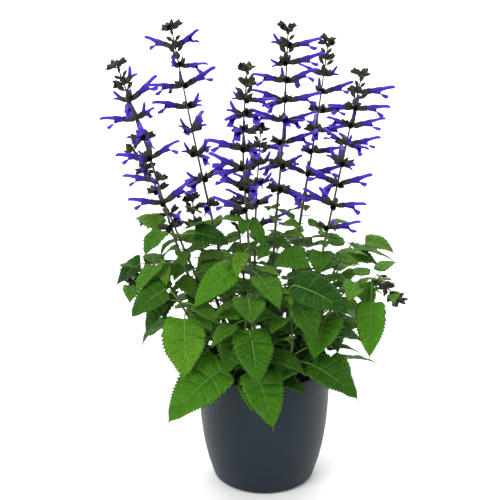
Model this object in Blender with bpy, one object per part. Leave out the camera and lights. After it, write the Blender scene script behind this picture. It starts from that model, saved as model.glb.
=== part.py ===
"""Potted sage: a flowering salvia in a round cover pot.

Metres, +Z up, origin at the centre of the pot's flat foot. The plant's front faces -Y and +X is to its
right. Heights on the plant are measured from the top of the soil, so it moves with the pot's height.
"""

import math
import random

import bmesh
import bpy
from mathutils import Matrix, Vector
from mathutils.bvhtree import BVHTree

# The pot.
POT_HEIGHT = 0.174
POT_RIM_RADIUS = 0.091
POT_FOOT_RADIUS = 0.063
POT_HEEL_RADIUS = 0.009
POT_HEEL_END = math.radians(15)
POT_WALL = 0.0034
POT_FLOOR = 0.005
POT_BELLY = 3.0
POT_SEGMENTS = 32
POT_WALL_ROWS = 7
POT_LIP_ROWS = 2

# The soil, and how the stems stand in it.
SOIL_BELOW_RIM = 0.020
SOIL_CROWN = 0.003
SOIL_ROUGHNESS = 0.0012
SOIL_RINGS = 5
SOIL_SEGMENTS = 24
FIT_GAP = 0.0003
PLANTED_DEPTH = 0.022
SOCKET_COLLAR = 0.006

# Sage stems are square. Half widths at the soil and at the tip.
STEM_ROOT_HALF = 0.0024
STEM_TIP_HALF = 0.0008
SHOOT_ROOT_HALF = 0.0020
SHOOT_TIP_HALF = 0.0009
STEM_STEP = 0.024
PATH_STEPS = 200

# Flowers: distances along the flower from its stem, and half sizes.
FLOWER_LENGTH = 0.046
FLOWER_WIDTH = 0.0076
CALYX_LENGTH = 0.012
CALYX_WIDTH = 0.0062
BUD_LENGTH = 0.026
LIP_DROP = 0.011
SMALL_BUD = 0.62
# How steeply each kind leaves the stem, and how far it bends over, in degrees.
FLOWER_RISE = {"O": 34, "B": 38, "b": 38, "s": 38, "C": 34}
FLOWER_BEND = {"O": 46, "B": 18, "b": -12, "s": -16, "C": 16}
# The throat, from where the petals leave the calyx to the tip of the hood, and a bud that is opening. Each
# row is a share of the length, of the half width and of the half height.
THROAT = ((0.56, 0.85, 1.1), (0.68, 1.0, 1.1), (1.0, 0.45, 0.35))
OPENING_TIP = ((0.8, 0.8, 0.85), (1.0, 0.25, 0.25))
CLOSED_BUD = ((0.55, 0.72, 0.8), (1.15, 0.2, 0.2))
SPENT_MOUTH = ((1.0, 0.9, 1.0), (1.2, 0.3, 0.3))
# The lower lip: shares of its drop, of the flower's half width across it, and of the same half width thick.
LIP = ((0.35, 1.15, 0.30), (1.0, 0.85, 0.16))
LIP_FORWARD = 0.75
# How far whole whorls, single flowers and their rise stray, in degrees, and how flower sizes vary.
WHORL_TWIST = 22
FLOWER_SWAY = 9
RISE_SWAY = 6
SIZE_RANGE = (0.92, 1.06)
WHORL_SPACING_GROWTH = 1.07
WHORL_BAND = 0.0032
SPIKE_FOOT = 0.006
SPIKE_CROWN = 0.003
CROWN_TAPER = 0.6

# Leaves.
LEAF_THICKNESS = 0.0009
LEAF_FOLD = 0.16
PETIOLE_HALF = 0.0008
LEAF_CLEARANCE = 0.0006
LEAF_FOOT_GAP = 0.0006
BLADE_ROWS = 8
PETIOLE_ROWS = 2
# The blade's outline: where it starts along its length, how it swells and tapers, and its least half width.
BLADE_START = 0.03
BLADE_WIDEST = 0.62
BLADE_FULLNESS = 0.80
BLADE_TAPER = 0.18
BLADE_LEAST_HALF = 0.0004
# How far a leaf may be turned and raised, in degrees, to lie clear of what is there, and by what steps.
MOST_TURN = 60
LOWEST_LIFT = -30
HIGHEST_LIFT = 45
SETTLING_STEP = 5

SOIL_TOP = POT_HEIGHT - SOIL_BELOW_RIM

# Every stem: where it leaves the soil, the points it passes, and where it ends. Heights are above the soil.
# The spike is the length of its tip that flowers. Its whorls are listed from the tip down. Each has four
# places, left, right, front and back, filled with s a small bud, b a closed bud, B a bud showing colour,
# O an open flower, C a calyx, or - nothing.
FLOWER_STEMS = {
    "far_left": dict(
        route=[
            (-0.050, -0.012, 0.0), (-0.110, -0.030, 0.180),
            (-0.150, -0.042, 0.330), (-0.184, -0.050, 0.440),
        ],
        spike=0.232,
        whorls=["ss--", "bB-b", "BOb-", "OBbB", "CCBC", "OOCO", "OC-C", "OOCB", "CCC-"],
    ),
    "left_branch": dict(
        route=[
            (-0.044, 0.014, 0.0), (-0.112, 0.004, 0.190),
            (-0.140, 0.000, 0.262), (-0.172, -0.002, 0.322),
        ],
        spike=0.108,
        whorls=["ss--", "CC-b", "CCC-", "OC-C"],
    ),
    "left": dict(
        route=[
            (-0.026, 0.016, 0.0), (-0.058, 0.020, 0.156),
            (-0.094, 0.026, 0.330), (-0.121, 0.030, 0.474),
        ],
        spike=0.250,
        whorls=["ss--", "OO-b", "bbB-", "OOCB", "OBCC", "BB-O", "BBC-", "BOCC", "CC-C"],
    ),
    "front": dict(
        route=[
            (-0.010, -0.036, 0.0), (-0.017, -0.062, 0.150),
            (-0.028, -0.070, 0.330), (-0.023, -0.072, 0.441),
        ],
        spike=0.188,
        whorls=["ss--", "bb-b", "bbb-", "BbbC", "CCO-", "OCCB", "OCC-", "OCCO", "OCC-"],
    ),
    "middle": dict(
        route=[
            (0.006, 0.002, 0.0), (0.013, 0.000, 0.188),
            (0.023, 0.000, 0.330), (0.029, 0.000, 0.478),
        ],
        spike=0.220,
        whorls=["ss--", "BOb-", "bO-b", "OOCB", "OOC-", "OOOC", "COCB", "CCCO", "CCC-"],
    ),
    "back": dict(
        route=[(-0.014, 0.034, 0.0), (-0.012, 0.052, 0.200), (-0.005, 0.072, 0.330)],
        spike=0.140,
        whorls=["ss--", "bb-b", "bBbO", "CB-C", "OCCO", "CO-C"],
    ),
    "right": dict(
        route=[
            (0.026, 0.034, 0.0), (0.049, 0.060, 0.193),
            (0.070, 0.072, 0.330), (0.085, 0.080, 0.447),
        ],
        spike=0.222,
        whorls=["ss--", "bb-b", "bB-b", "bOCB", "COCC", "CO-O", "COCC", "OOCB", "OC-C"],
    ),
    "far_right": dict(
        route=[
            (0.044, -0.012, 0.0), (0.078, -0.020, 0.190),
            (0.104, -0.022, 0.330), (0.122, -0.020, 0.422),
        ],
        spike=0.214,
        whorls=["ss--", "bOb-", "bO-B", "COCB", "COBC", "BCCO", "OOC-", "OOCC", "COC-"],
    ),
}

BUD_STEMS = {
    "dark_left": dict(
        route=[(-0.044, 0.040, 0.0), (-0.092, 0.052, 0.183), (-0.099, 0.060, 0.252)],
        spike=0.060,
        whorls=["ss--", "bbbb", "bb--", "bbbb"],
    ),
    "nodding": dict(
        route=[(-0.012, 0.016, 0.0), (-0.031, 0.024, 0.160), (-0.034, 0.027, 0.238)],
        spike=0.020,
        whorls=["ss--", "ssss"],
    ),
}

LEAFY_SHOOTS = {
    "right_trailing": dict(
        route=[
            (0.062, -0.020, 0.0), (0.092, -0.032, 0.112),
            (0.141, -0.040, 0.157), (0.176, -0.048, 0.128),
        ],
        spike=0.030,
        whorls=["ss--", "ssss", "ss--"],
    ),
    "right_upper": dict(route=[(0.062, 0.014, 0.0), (0.090, 0.034, 0.120), (0.124, 0.048, 0.176)]),
    "left_side": dict(
        route=[
            (-0.064, -0.004, 0.0), (-0.108, -0.018, 0.100),
            (-0.148, -0.040, 0.172), (-0.172, -0.050, 0.152),
        ],
        spike=0.020,
        whorls=["ss--", "ssss"],
    ),
    "left_low": dict(route=[(-0.044, -0.040, 0.0), (-0.084, -0.062, 0.074), (-0.112, -0.074, 0.140)]),
    "front_low": dict(route=[(-0.018, -0.060, 0.0), (-0.026, -0.090, 0.080), (-0.022, -0.106, 0.160)]),
    "front_right": dict(route=[(0.028, -0.050, 0.0), (0.036, -0.074, 0.080), (0.026, -0.088, 0.162)]),
    "back_left": dict(route=[(-0.038, 0.058, 0.0), (-0.070, 0.088, 0.080), (-0.088, 0.104, 0.150)]),
    "back_low": dict(route=[(0.008, 0.062, 0.0), (0.016, 0.096, 0.080), (0.020, 0.112, 0.155)]),
    "back_right": dict(route=[(0.052, 0.042, 0.0), (0.090, 0.064, 0.080), (0.112, 0.078, 0.150)]),
}

def leaf(stem, height, azimuth, stalk, rise, length, width, pitch, curl=30, roll=0):
    """One leaf: the stem it grows on and its height there, the way it points (0 right, 90 back, -90 front),
    the length and rise of its stalk, the length and width of its blade, its slope, its arch and its roll."""
    degrees = dict(azimuth=azimuth, rise=rise, pitch=pitch, curl=curl, roll=roll)
    turned = {name: math.radians(angle) for name, angle in degrees.items()}
    return dict(turned, stem=stem, height=height, stalk=stalk, length=length, width=width)


LEAVES = {
    "low_left_large": leaf("front_low", 0.055, -145, 0.032, 0, 0.108, 0.066, -35, roll=-30),
    "low_centre": leaf("front_low", 0.050, -65, 0.026, 0, 0.080, 0.060, -50, curl=20),
    "low_right": leaf("front_right", 0.050, -40, 0.030, 5, 0.086, 0.054, -22, roll=15),
    "left_large": leaf("left_low", 0.120, -90, 0.018, 0, 0.081, 0.062, -70, curl=20),
    "front_centre": leaf("front_low", 0.100, -75, 0.022, 45, 0.075, 0.056, -55),
    "front_left": leaf("front_low", 0.090, -115, 0.020, 65, 0.062, 0.046, -45),
    "right_large": leaf("front_right", 0.155, -30, 0.014, 55, 0.085, 0.052, -20, roll=35),
    "right_middle": leaf("front_right", 0.135, -50, 0.016, 55, 0.065, 0.050, -55),
    "right_low": leaf("right_trailing", 0.110, -110, 0.026, 0, 0.068, 0.058, -40),
    "right_outer": leaf("right_trailing", 0.157, -95, 0.034, -50, 0.076, 0.042, -75, curl=10),
    "right_outer_small": leaf("right_trailing", 0.150, -60, 0.010, 20, 0.040, 0.026, -60),
    "left_long": leaf("front", 0.175, -155, 0.020, 15, 0.075, 0.044, -40, roll=-35),
    "front_upper_left": leaf("front_low", 0.145, -85, 0.014, 60, 0.054, 0.046, -20),
    "front_upper": leaf("front", 0.175, -65, 0.024, 0, 0.066, 0.040, -25),
    "left_outer": leaf("left_low", 0.140, -145, 0.024, 55, 0.062, 0.040, -30, roll=-30),
    "left_dark": leaf("left_low", 0.135, -165, 0.018, 20, 0.052, 0.036, -60, roll=-20),
    "far_left_back": leaf("left_side", 0.170, -175, 0.016, 30, 0.045, 0.034, -45, roll=-25),
    "left_flat": leaf("far_left", 0.160, -30, 0.014, 30, 0.040, 0.036, 15, roll=30),
    "left_inner": leaf("far_left", 0.210, -10, 0.026, 15, 0.050, 0.036, -20, roll=30),
    "upper_left": leaf("far_left", 0.215, -110, 0.014, 30, 0.042, 0.036, -40),
    "right_back": leaf("right_upper", 0.115, -20, 0.014, 5, 0.040, 0.034, 40, roll=30),
    "right_node": leaf("far_right", 0.195, -100, 0.024, 0, 0.046, 0.034, -25),
    "middle_left": leaf("far_right", 0.170, -155, 0.018, 25, 0.052, 0.042, -5, roll=-35),
    "front_node_left": leaf("front", 0.245, -100, 0.006, 10, 0.027, 0.018, -35),
    "front_node_right": leaf("front", 0.245, -55, 0.006, -5, 0.043, 0.022, -40),
    "back_left_upper": leaf("back_left", 0.145, 130, 0.020, 30, 0.078, 0.052, -25),
    "back_left_low": leaf("back_left", 0.070, 150, 0.030, 10, 0.084, 0.058, -30),
    "back_low_upper": leaf("back_low", 0.150, 75, 0.020, 30, 0.074, 0.054, -30),
    "back_low": leaf("back_low", 0.060, 110, 0.028, 10, 0.082, 0.060, -40),
    "back_right_upper": leaf("back_right", 0.145, 20, 0.018, 30, 0.070, 0.048, -25),
    "back_right_low": leaf("back_right", 0.060, 55, 0.028, 10, 0.084, 0.058, -35),
}

# The colours of the parts.
LEAF_GREEN = (0.105, 0.300, 0.040)
STEM_GREEN = (0.080, 0.140, 0.040)
DARK_STEM = (0.045, 0.040, 0.035)
PETAL_VIOLET = (0.090, 0.035, 0.480)
POT_SLATE = (0.028, 0.042, 0.052)
SOIL_BROWN = (0.030, 0.020, 0.014)


def clear_scene():
    for obj in list(bpy.data.objects):
        bpy.data.objects.remove(obj, do_unlink=True)


def make_material(name, colour, roughness, metallic=0.0):
    material = bpy.data.materials.new(name)
    material.use_nodes = True
    shader = material.node_tree.nodes["Principled BSDF"]
    shader.inputs["Base Color"].default_value = (*colour, 1.0)
    shader.inputs["Roughness"].default_value = roughness
    shader.inputs["Metallic"].default_value = metallic
    material.diffuse_color = (*colour, 1.0)
    return material


def add_object(name, bm, colour, roughness, crease=math.radians(40)):
    """A mesh object with its own material, its faces pointing out and its round parts smooth."""
    bmesh.ops.recalc_face_normals(bm, faces=bm.faces)
    mesh = bpy.data.meshes.new(name)
    bm.to_mesh(mesh)
    bm.free()
    mesh.shade_smooth()
    mesh.set_sharp_from_angle(angle=crease)
    mesh.materials.append(make_material(name, colour, roughness))
    obj = bpy.data.objects.new(name, mesh)
    bpy.context.scene.collection.objects.link(obj)
    return obj


# ---------------------------------------------------------------- pot and soil


def pot_radius(z):
    """The pot's outer radius above its heel: a wall that swells quickly and stands upright at the rim."""
    heel_radius = POT_FOOT_RADIUS + POT_HEEL_RADIUS * math.cos(POT_HEEL_END)
    heel_top = POT_HEEL_RADIUS * (1 - math.sin(POT_HEEL_END))
    t = max(0.0, (z - heel_top) / (POT_HEIGHT - heel_top))
    return heel_radius + (POT_RIM_RADIUS - heel_radius) * (1 - (1 - t) ** POT_BELLY)


def arc(centre, radius, start, end, steps):
    """Points on an arc in the turning plane, both ends included."""
    angles = [start + (end - start) * i / steps for i in range(steps + 1)]
    return [(centre[0] + radius * math.cos(a), centre[1] + radius * math.sin(a)) for a in angles]


def spun(profile, segments):
    """A closed body turned about Z from (radius, height) points that start and end on the axis."""
    bm = bmesh.new()
    verts = [bm.verts.new((r, 0.0, z)) for r, z in profile]
    edges = [bm.edges.new(pair) for pair in zip(verts, verts[1:])]
    bmesh.ops.spin(
        bm, geom=verts + edges, axis=(0, 0, 1), cent=(0, 0, 0), angle=math.tau, steps=segments, use_merge=True
    )
    bmesh.ops.remove_doubles(bm, verts=bm.verts, dist=1e-6)
    return bm


def build_pot():
    heel = arc((POT_FOOT_RADIUS, POT_HEEL_RADIUS), POT_HEEL_RADIUS, -math.pi / 2, -POT_HEEL_END, 4)
    lip_radius = POT_WALL / 2
    lip_height = POT_HEIGHT - lip_radius
    low = heel[-1][1]
    outer = [low + (lip_height - low) * i / POT_WALL_ROWS for i in range(1, POT_WALL_ROWS + 1)]
    lip_centre = (pot_radius(lip_height) - lip_radius, lip_height)
    lip = arc(lip_centre, lip_radius, 0.0, math.pi, POT_LIP_ROWS * 2)
    inner = [z for z in reversed(outer[:-1]) if z > POT_FLOOR + POT_WALL]
    profile = [(0.0, 0.0), *heel]
    profile += [(pot_radius(z), z) for z in outer[:-1]]
    profile += lip
    profile += [(pot_radius(z) - POT_WALL, z) for z in inner]
    profile += [(pot_radius(POT_FLOOR) - POT_WALL, POT_FLOOR), (0.0, POT_FLOOR)]
    return add_object("pot", spun(profile, POT_SEGMENTS), POT_SLATE, 0.45)


def build_soil():
    """Potting soil that fills the pot to below its rim, with a low crown and a socket round each stem."""
    low = POT_FLOOR + FIT_GAP
    rows = [low + (SOIL_TOP - low) * i / SOIL_RINGS for i in range(SOIL_RINGS + 1)]
    # The pot's wall is faceted, so its flats come in by this share of the radius.
    flats = math.cos(math.pi / POT_SEGMENTS)
    walls = [((pot_radius(z) - POT_WALL) * flats - 2 * FIT_GAP, z) for z in rows]
    edge = walls[-1][0]
    crown = [
        (edge * (1 - i / SOIL_RINGS), SOIL_TOP + SOIL_CROWN * math.sin(math.pi / 2 * i / SOIL_RINGS))
        for i in range(1, SOIL_RINGS + 1)
    ]
    bm = spun([(0.0, low), *walls, *crown], SOIL_SEGMENTS)
    dice = random.Random(11)
    for vert in bm.verts:
        if vert.co.z > SOIL_TOP + 1e-4:
            vert.co.z += dice.uniform(-SOIL_ROUGHNESS, 0.0)
    soil = add_object("potting_soil", bm, SOIL_BROWN, 0.95)
    sockets = bpy.data.collections.new("stem_sockets")
    bpy.context.scene.collection.children.link(sockets)
    for key, stem in ALL_STEMS.items():
        sockets.objects.link(socket_cutter(key, stem))
    cut = soil.modifiers.new("stem_sockets", "BOOLEAN")
    cut.operation = "DIFFERENCE"
    cut.solver = "EXACT"
    cut.operand_type = "COLLECTION"
    cut.collection = sockets
    return soil


def socket_cutter(key, stem):
    """A square post that cuts the hole that one stem stands in."""
    x, y, _ = stem["route"][0]
    half = stem["root_half"] + FIT_GAP
    bottom = SOIL_TOP - PLANTED_DEPTH - FIT_GAP
    top = SOIL_TOP + SOIL_CROWN + SOCKET_COLLAR
    bm = bmesh.new()
    bmesh.ops.create_cube(bm, size=1.0)
    bmesh.ops.scale(bm, vec=(2 * half, 2 * half, top - bottom), verts=bm.verts)
    bmesh.ops.translate(bm, vec=(x, y, (top + bottom) / 2), verts=bm.verts)
    mesh = bpy.data.meshes.new("socket_" + key)
    bm.to_mesh(mesh)
    bm.free()
    cutter = bpy.data.objects.new("socket_" + key, mesh)
    cutter.hide_render = True
    cutter.display_type = "WIRE"
    return cutter


# ---------------------------------------------------------------- stems


def spline_point(points, t):
    """A point on the smooth curve through points, t from 0 to 1 along its spans."""
    spans = len(points) - 1
    span = min(int(t * spans), spans - 1)
    u = t * spans - span
    before = points[span - 1] if span else 2 * points[0] - points[1]
    after = points[span + 2] if span + 2 <= spans else 2 * points[-1] - points[-2]
    a, b = points[span], points[span + 1]
    return 0.5 * (
        2 * a
        + (b - before) * u
        + (2 * before - 5 * a + 4 * b - after) * u**2
        + (3 * a - before - 3 * b + after) * u**3
    )


def stem_path(stem):
    """Points up the smooth curve of a stem, from the top of its straight root."""
    lift = SOIL_TOP + SOIL_CROWN + SOCKET_COLLAR
    first = Vector(stem["route"][0]) + Vector((0, 0, lift))
    later = [Vector(point) + Vector((0, 0, SOIL_TOP)) for point in stem["route"][1:]]
    points = [first, *later]
    return [spline_point(points, i / PATH_STEPS) for i in range(PATH_STEPS + 1)]


def lengths_of(path):
    """How far along a path each of its points lies."""
    total = 0.0
    sums = [0.0]
    for a, b in zip(path, path[1:]):
        total += (b - a).length
        sums.append(total)
    return sums


def along(path, sums, distance):
    """The point and the direction at this distance along a path."""
    distance = min(max(distance, 0.0), sums[-1])
    i = 1
    while i < len(sums) - 1 and sums[i] < distance:
        i += 1
    share = (distance - sums[i - 1]) / (sums[i] - sums[i - 1])
    return path[i - 1].lerp(path[i], share), (path[i] - path[i - 1]).normalized()


def height_along(path, sums, height):
    """How far along a path it first reaches this height above the soil."""
    for point, total in zip(path, sums):
        if point.z >= SOIL_TOP + height:
            return total
    return sums[-1]


def stem_axes(direction):
    """The two axes across a stem, towards its right and its back, as it bends over from upright."""
    bend = Vector((0, 0, 1)).rotation_difference(direction)
    return bend @ Vector((1, 0, 0)), bend @ Vector((0, 1, 0))


def square_ring(bm, centre, direction, half):
    """Four corners across a stem, with its flats to the left, right, front and back."""
    side, depth = stem_axes(direction)
    corners = ((1, -1), (1, 1), (-1, 1), (-1, -1))
    return [bm.verts.new(centre + side * half * a + depth * half * b) for a, b in corners]


def bridge(bm, low, high):
    """The four side faces between two rings: right, back, left, front."""
    return [bm.faces.new((low[i], low[(i + 1) % 4], high[(i + 1) % 4], high[i])) for i in range(4)]


def half_at(stem, sums, distance):
    share = min(1.0, max(0.0, distance / sums[-1]))
    return stem["root_half"] + (stem["tip_half"] - stem["root_half"]) * share


def tube(bm, stem, path, sums, start, stops):
    """A square tube on from a ring through the path at these stops. Returns its last ring."""
    ring = start
    for distance in stops:
        point, direction = along(path, sums, distance)
        following = square_ring(bm, point, direction, half_at(stem, sums, distance))
        bridge(bm, ring, following)
        ring = following
    return ring


def even_stops(start, end, step):
    count = max(1, round((end - start) / step))
    return [start + (end - start) * i / count for i in range(count + 1)]


def build_stem(name, stem, end, whorls, colour):
    """A stem from its socket in the soil up to a distance along its path, with whorls at its end if any."""
    path, sums = stem["path"], stem["sums"]
    x, y, _ = stem["route"][0]
    bm = bmesh.new()
    foot = square_ring(bm, Vector((x, y, SOIL_TOP - PLANTED_DEPTH)), Vector((0, 0, 1)), stem["root_half"])
    bm.faces.new(foot[::-1])
    bottom = whorls[-1][0] - STEM_STEP / 3 if whorls else end
    ring = tube(bm, stem, path, sums, foot, even_stops(0.0, bottom, STEM_STEP))
    if whorls:
        grow_whorls(bm, stem, ring, whorls)
    else:
        bm.faces.new(ring)
    return add_object(name, bm, colour, 0.6)


# ---------------------------------------------------------------- flowers


def grow(bm, face, rings):
    """Grows a face outwards through rings of (centre, side, up, half width, half height), and closes the end.
    Returns the lower side face between the two rings before the last."""
    start = list(face.verts)
    middle = face.calc_center_median()
    centre, side, up, _, _ = rings[0]
    signs = []
    for vert in start:
        offset = vert.co - middle
        signs.append((1 if offset.dot(side) > 0 else -1, 1 if offset.dot(up) > 0 else -1))
    bm.faces.remove(face)
    lower = None
    ring = start
    for number, (centre, side, up, wide, high) in enumerate(rings):
        following = [bm.verts.new(centre + side * wide * a + up * high * b) for a, b in signs]
        for i in range(4):
            j = (i + 1) % 4
            wall = bm.faces.new((ring[i], ring[j], following[j], following[i]))
            if number == len(rings) - 2 and signs[i][1] == signs[j][1] == -1:
                lower = wall
        ring = following
    bm.faces.new(ring)
    return lower


def flower_rings(root, heading, axis, rise, bend, sections):
    """Rings along a flower that leaves its stem at a rise and bends away from its tip over its length."""
    side = axis.cross(heading)
    total = sections[-1][0]
    rings = []
    point = root
    reached = 0.0
    for distance, wide, high in sections:
        pitch = rise - bend * min(1.0, distance / total)
        direction = heading * math.cos(pitch) + axis * math.sin(pitch)
        point = point + direction * (distance - reached)
        reached = distance
        rings.append((point, side, direction.cross(side), wide, high))
    return rings


def scaled(shares, length, half):
    """Sections at their true size from shares of a length and of a half width."""
    return [(length * share, half * wide, half * high) for share, wide, high in shares]


def flower_sections(kind, size):
    """(distance, half width, half height) along one flower, bud or calyx."""
    calyx = CALYX_LENGTH * size
    full = CALYX_WIDTH * size / 2
    stalk = [(calyx * 0.5, full, full)]
    if kind == "O":
        petals = scaled(THROAT, FLOWER_LENGTH * size, FLOWER_WIDTH * size / 2)
        return stalk + [(calyx, full * 0.8, full * 0.9)] + petals
    if kind == "B":
        return stalk + [(calyx, full * 0.9, full * 0.9)] + scaled(OPENING_TIP, BUD_LENGTH * size, full)
    if kind in "bs":
        return scaled(CLOSED_BUD, calyx, full)
    return stalk + scaled(SPENT_MOUTH, calyx, full)


def add_flower(bm, face, kind, heading, axis, rise, bend, size):
    rings = flower_rings(face.calc_center_median(), heading, axis, rise, bend, flower_sections(kind, size))
    if kind != "O":
        grow(bm, face, rings)
        return
    # The throat's floor carries the lower lip, which hangs forward and down.
    lower = grow(bm, face, rings)
    floor = lower.calc_center_median()
    wide = FLOWER_WIDTH * size / 2
    _, side, up, _, _ = rings[-2]
    forward = side.cross(up)
    drop = LIP_DROP * size
    down = -up
    lip = []
    for share, lip_wide, thick in LIP:
        centre = floor + down * drop * share + forward * drop * LIP_FORWARD * share
        lip.append((centre, side, forward, wide * lip_wide, wide * thick))
    grow(bm, lower, lip)


PLACES = (("left", math.pi), ("right", 0.0), ("front", -math.pi / 2), ("back", math.pi / 2))
FACE_OF = {"right": 0, "back": 1, "left": 2, "front": 3}


def grow_whorls(bm, stem, ring, whorls):
    """The upper stem with its whorls of flowers, from the lowest whorl up, closed at the tip."""
    path, sums = stem["path"], stem["sums"]
    dice = random.Random(stem["seed"])
    for distance, marks in reversed(whorls):
        for stop in (distance - WHORL_BAND / 2, distance + WHORL_BAND / 2):
            point, direction = along(path, sums, stop)
            following = square_ring(bm, point, direction, half_at(stem, sums, stop))
            sides = bridge(bm, ring, following)
            ring = following
        twist = math.radians(dice.uniform(-WHORL_TWIST, WHORL_TWIST))
        for (place, azimuth), mark in zip(PLACES, marks):
            sway = math.radians(dice.uniform(-FLOWER_SWAY, FLOWER_SWAY))
            size = dice.uniform(*SIZE_RANGE) * (SMALL_BUD if mark == "s" else 1.0)
            if mark == "-":
                continue
            turned = azimuth + twist + sway
            side, depth = stem_axes(direction)
            heading = side * math.cos(turned) + depth * math.sin(turned)
            rise = math.radians(FLOWER_RISE[mark] + dice.uniform(-RISE_SWAY, RISE_SWAY))
            bend = math.radians(FLOWER_BEND[mark])
            add_flower(bm, sides[FACE_OF[place]], mark, heading, direction, rise, bend, size)
    tip, direction = along(path, sums, sums[-1])
    last = square_ring(bm, tip + direction * SPIKE_CROWN, direction, stem["tip_half"] * CROWN_TAPER)
    bridge(bm, ring, last)
    bm.faces.new(last)


def whorl_stops(stem):
    """The distance along its stem of each whorl, from the tip down, with its marks."""
    marks = stem.get("whorls", [])
    if not marks:
        return []
    highest = stem["sums"][-1] - SPIKE_CROWN
    lowest = stem["sums"][-1] - stem["spike"] + SPIKE_FOOT
    # The spaces between whorls grow towards the foot of the spike and fill its length.
    spaces = [WHORL_SPACING_GROWTH**i for i in range(len(marks) - 1)]
    share = [sum(spaces[:i]) / max(1e-9, sum(spaces)) for i in range(len(marks))]
    return [(highest - (highest - lowest) * part, mark) for part, mark in zip(share, marks)]


def build_spike(name, stem, start):
    """The flowering top of a stem as one body: the stem's tip with all of its flowers."""
    path, sums = stem["path"], stem["sums"]
    bm = bmesh.new()
    point, direction = along(path, sums, start)
    ring = square_ring(bm, point, direction, half_at(stem, sums, start))
    bm.faces.new(ring[::-1])
    grow_whorls(bm, stem, ring, whorl_stops(stem))
    return add_object(name, bm, PETAL_VIOLET, 0.5)


# ---------------------------------------------------------------- leaves


def blade_half_width(share, width):
    """Half the width of a heart-based, long-pointed sage leaf at this share of its length."""
    swell = math.sin(math.pi * min(1.0, share) ** BLADE_WIDEST) ** BLADE_FULLNESS
    return max(BLADE_LEAST_HALF, width / 2 * swell * (1 - BLADE_TAPER * share))


def leaf_sections(root, azimuth, shape):
    """(centre, side, up, half width, half thickness, fold) along a leaf, from its stalk's foot to its tip."""
    heading = Vector((math.cos(azimuth), math.sin(azimuth), 0))
    level = Vector((-heading.y, heading.x, 0))
    stalk, rise, slope = shape["stalk"], shape["rise"], shape["pitch"] + shape["curl"] / 2
    rows = []
    for i in range(PETIOLE_ROWS):
        share = i / PETIOLE_ROWS
        pitch = rise + (slope - rise) * share**2
        rows.append((pitch, shape["roll"] * share, stalk / PETIOLE_ROWS, PETIOLE_HALF, PETIOLE_HALF, 0.0))
    for i in range(BLADE_ROWS + 1):
        share = i / BLADE_ROWS
        half = blade_half_width(max(share, BLADE_START), shape["width"])
        step = shape["length"] / BLADE_ROWS
        rows.append((slope - shape["curl"] * share, shape["roll"], step, half, LEAF_THICKNESS / 2, LEAF_FOLD))
    sections = []
    point = root
    for pitch, roll, step, half, thick, fold in rows:
        direction = heading * math.cos(pitch) + Vector((0, 0, math.sin(pitch)))
        side = Matrix.Rotation(roll, 3, direction) @ level
        sections.append((point, side, direction.cross(side), half, thick, fold))
        point = point + direction * step
    return sections


def leaf_mesh(sections):
    """One closed body through the sections. Each has six corners: two edges, a folded top and an underside."""
    bm = bmesh.new()
    previous = None
    for centre, side, up, half, thick, fold in sections:
        lift = half * fold
        if fold:
            shape = ((-1, 1), (-0.5, 0.5), (0, 0), (0.5, 0.5), (1, 1), (0, 0))
            heights = (0, thick, thick, thick, 0, -thick)
        else:
            shape = ((-1, 0), (-0.6, 0), (0, 0), (0.6, 0), (1, 0), (0, 0))
            heights = (0, 0.7 * thick, thick, 0.7 * thick, 0, -thick)
        ring = [
            bm.verts.new(centre + side * half * a + up * (lift * b + h)) for (a, b), h in zip(shape, heights)
        ]
        if previous:
            for i in range(6):
                j = (i + 1) % 6
                bm.faces.new((previous[i], previous[j], ring[j], ring[i]))
        else:
            bm.faces.new(ring[::-1])
        previous = ring
    bm.faces.new(previous)
    bmesh.ops.recalc_face_normals(bm, faces=bm.faces)
    return bm


def tree_of(obj):
    """A search tree of a finished object's evaluated faces, to test what comes near it."""
    graph = bpy.context.evaluated_depsgraph_get()
    return BVHTree.FromObject(obj, graph)


def fattened(bm, amount):
    """A search tree of a mesh swollen by an amount all over."""
    bm.verts.index_update()
    bm.normal_update()
    points = [vert.co + vert.normal * amount for vert in bm.verts]
    return BVHTree.FromPolygons(points, [[vert.index for vert in face.verts] for face in bm.faces])


# The turns and lifts that a leaf is tried at, the smallest first.
SETTLING = sorted(
    (
        (turn, lift)
        for turn in range(-MOST_TURN, MOST_TURN + 1, SETTLING_STEP)
        for lift in range(LOWEST_LIFT, HIGHEST_LIFT + 1, SETTLING_STEP)
    ),
    key=lambda step: abs(step[0]) + 0.8 * abs(step[1]) + (2 if step[0] < 0 else 0),
)


def settled_leaf(wanted, placed):
    """The mesh of a leaf at the first turn and lift at which it lies clear of everything in place."""
    stem = ALL_STEMS[wanted["stem"]]
    distance = height_along(stem["path"], stem["sums"], wanted["height"])
    node, direction = along(stem["path"], stem["sums"], distance)
    half = half_at(stem, stem["sums"], distance)
    for turn, lift in SETTLING:
        azimuth = wanted["azimuth"] + math.radians(turn)
        heading = Vector((math.cos(azimuth), math.sin(azimuth), 0))
        corner = (abs(heading.x) + abs(heading.y)) / max(abs(heading.x), abs(heading.y))
        reach = half * corner + LEAF_FOOT_GAP
        tried = dict(wanted, pitch=wanted["pitch"] + math.radians(lift))
        bm = leaf_mesh(leaf_sections(node + heading * (reach + PETIOLE_HALF), azimuth, tried))
        test = fattened(bm, LEAF_CLEARANCE)
        if not any(test.overlap(tree) for tree in placed):
            return bm
        bm.free()
    # A leaf with no clear place is left where it was wanted, so that the checks report what it touches.
    return leaf_mesh(leaf_sections(node, wanted["azimuth"], wanted))


# ---------------------------------------------------------------- the whole plant

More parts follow.
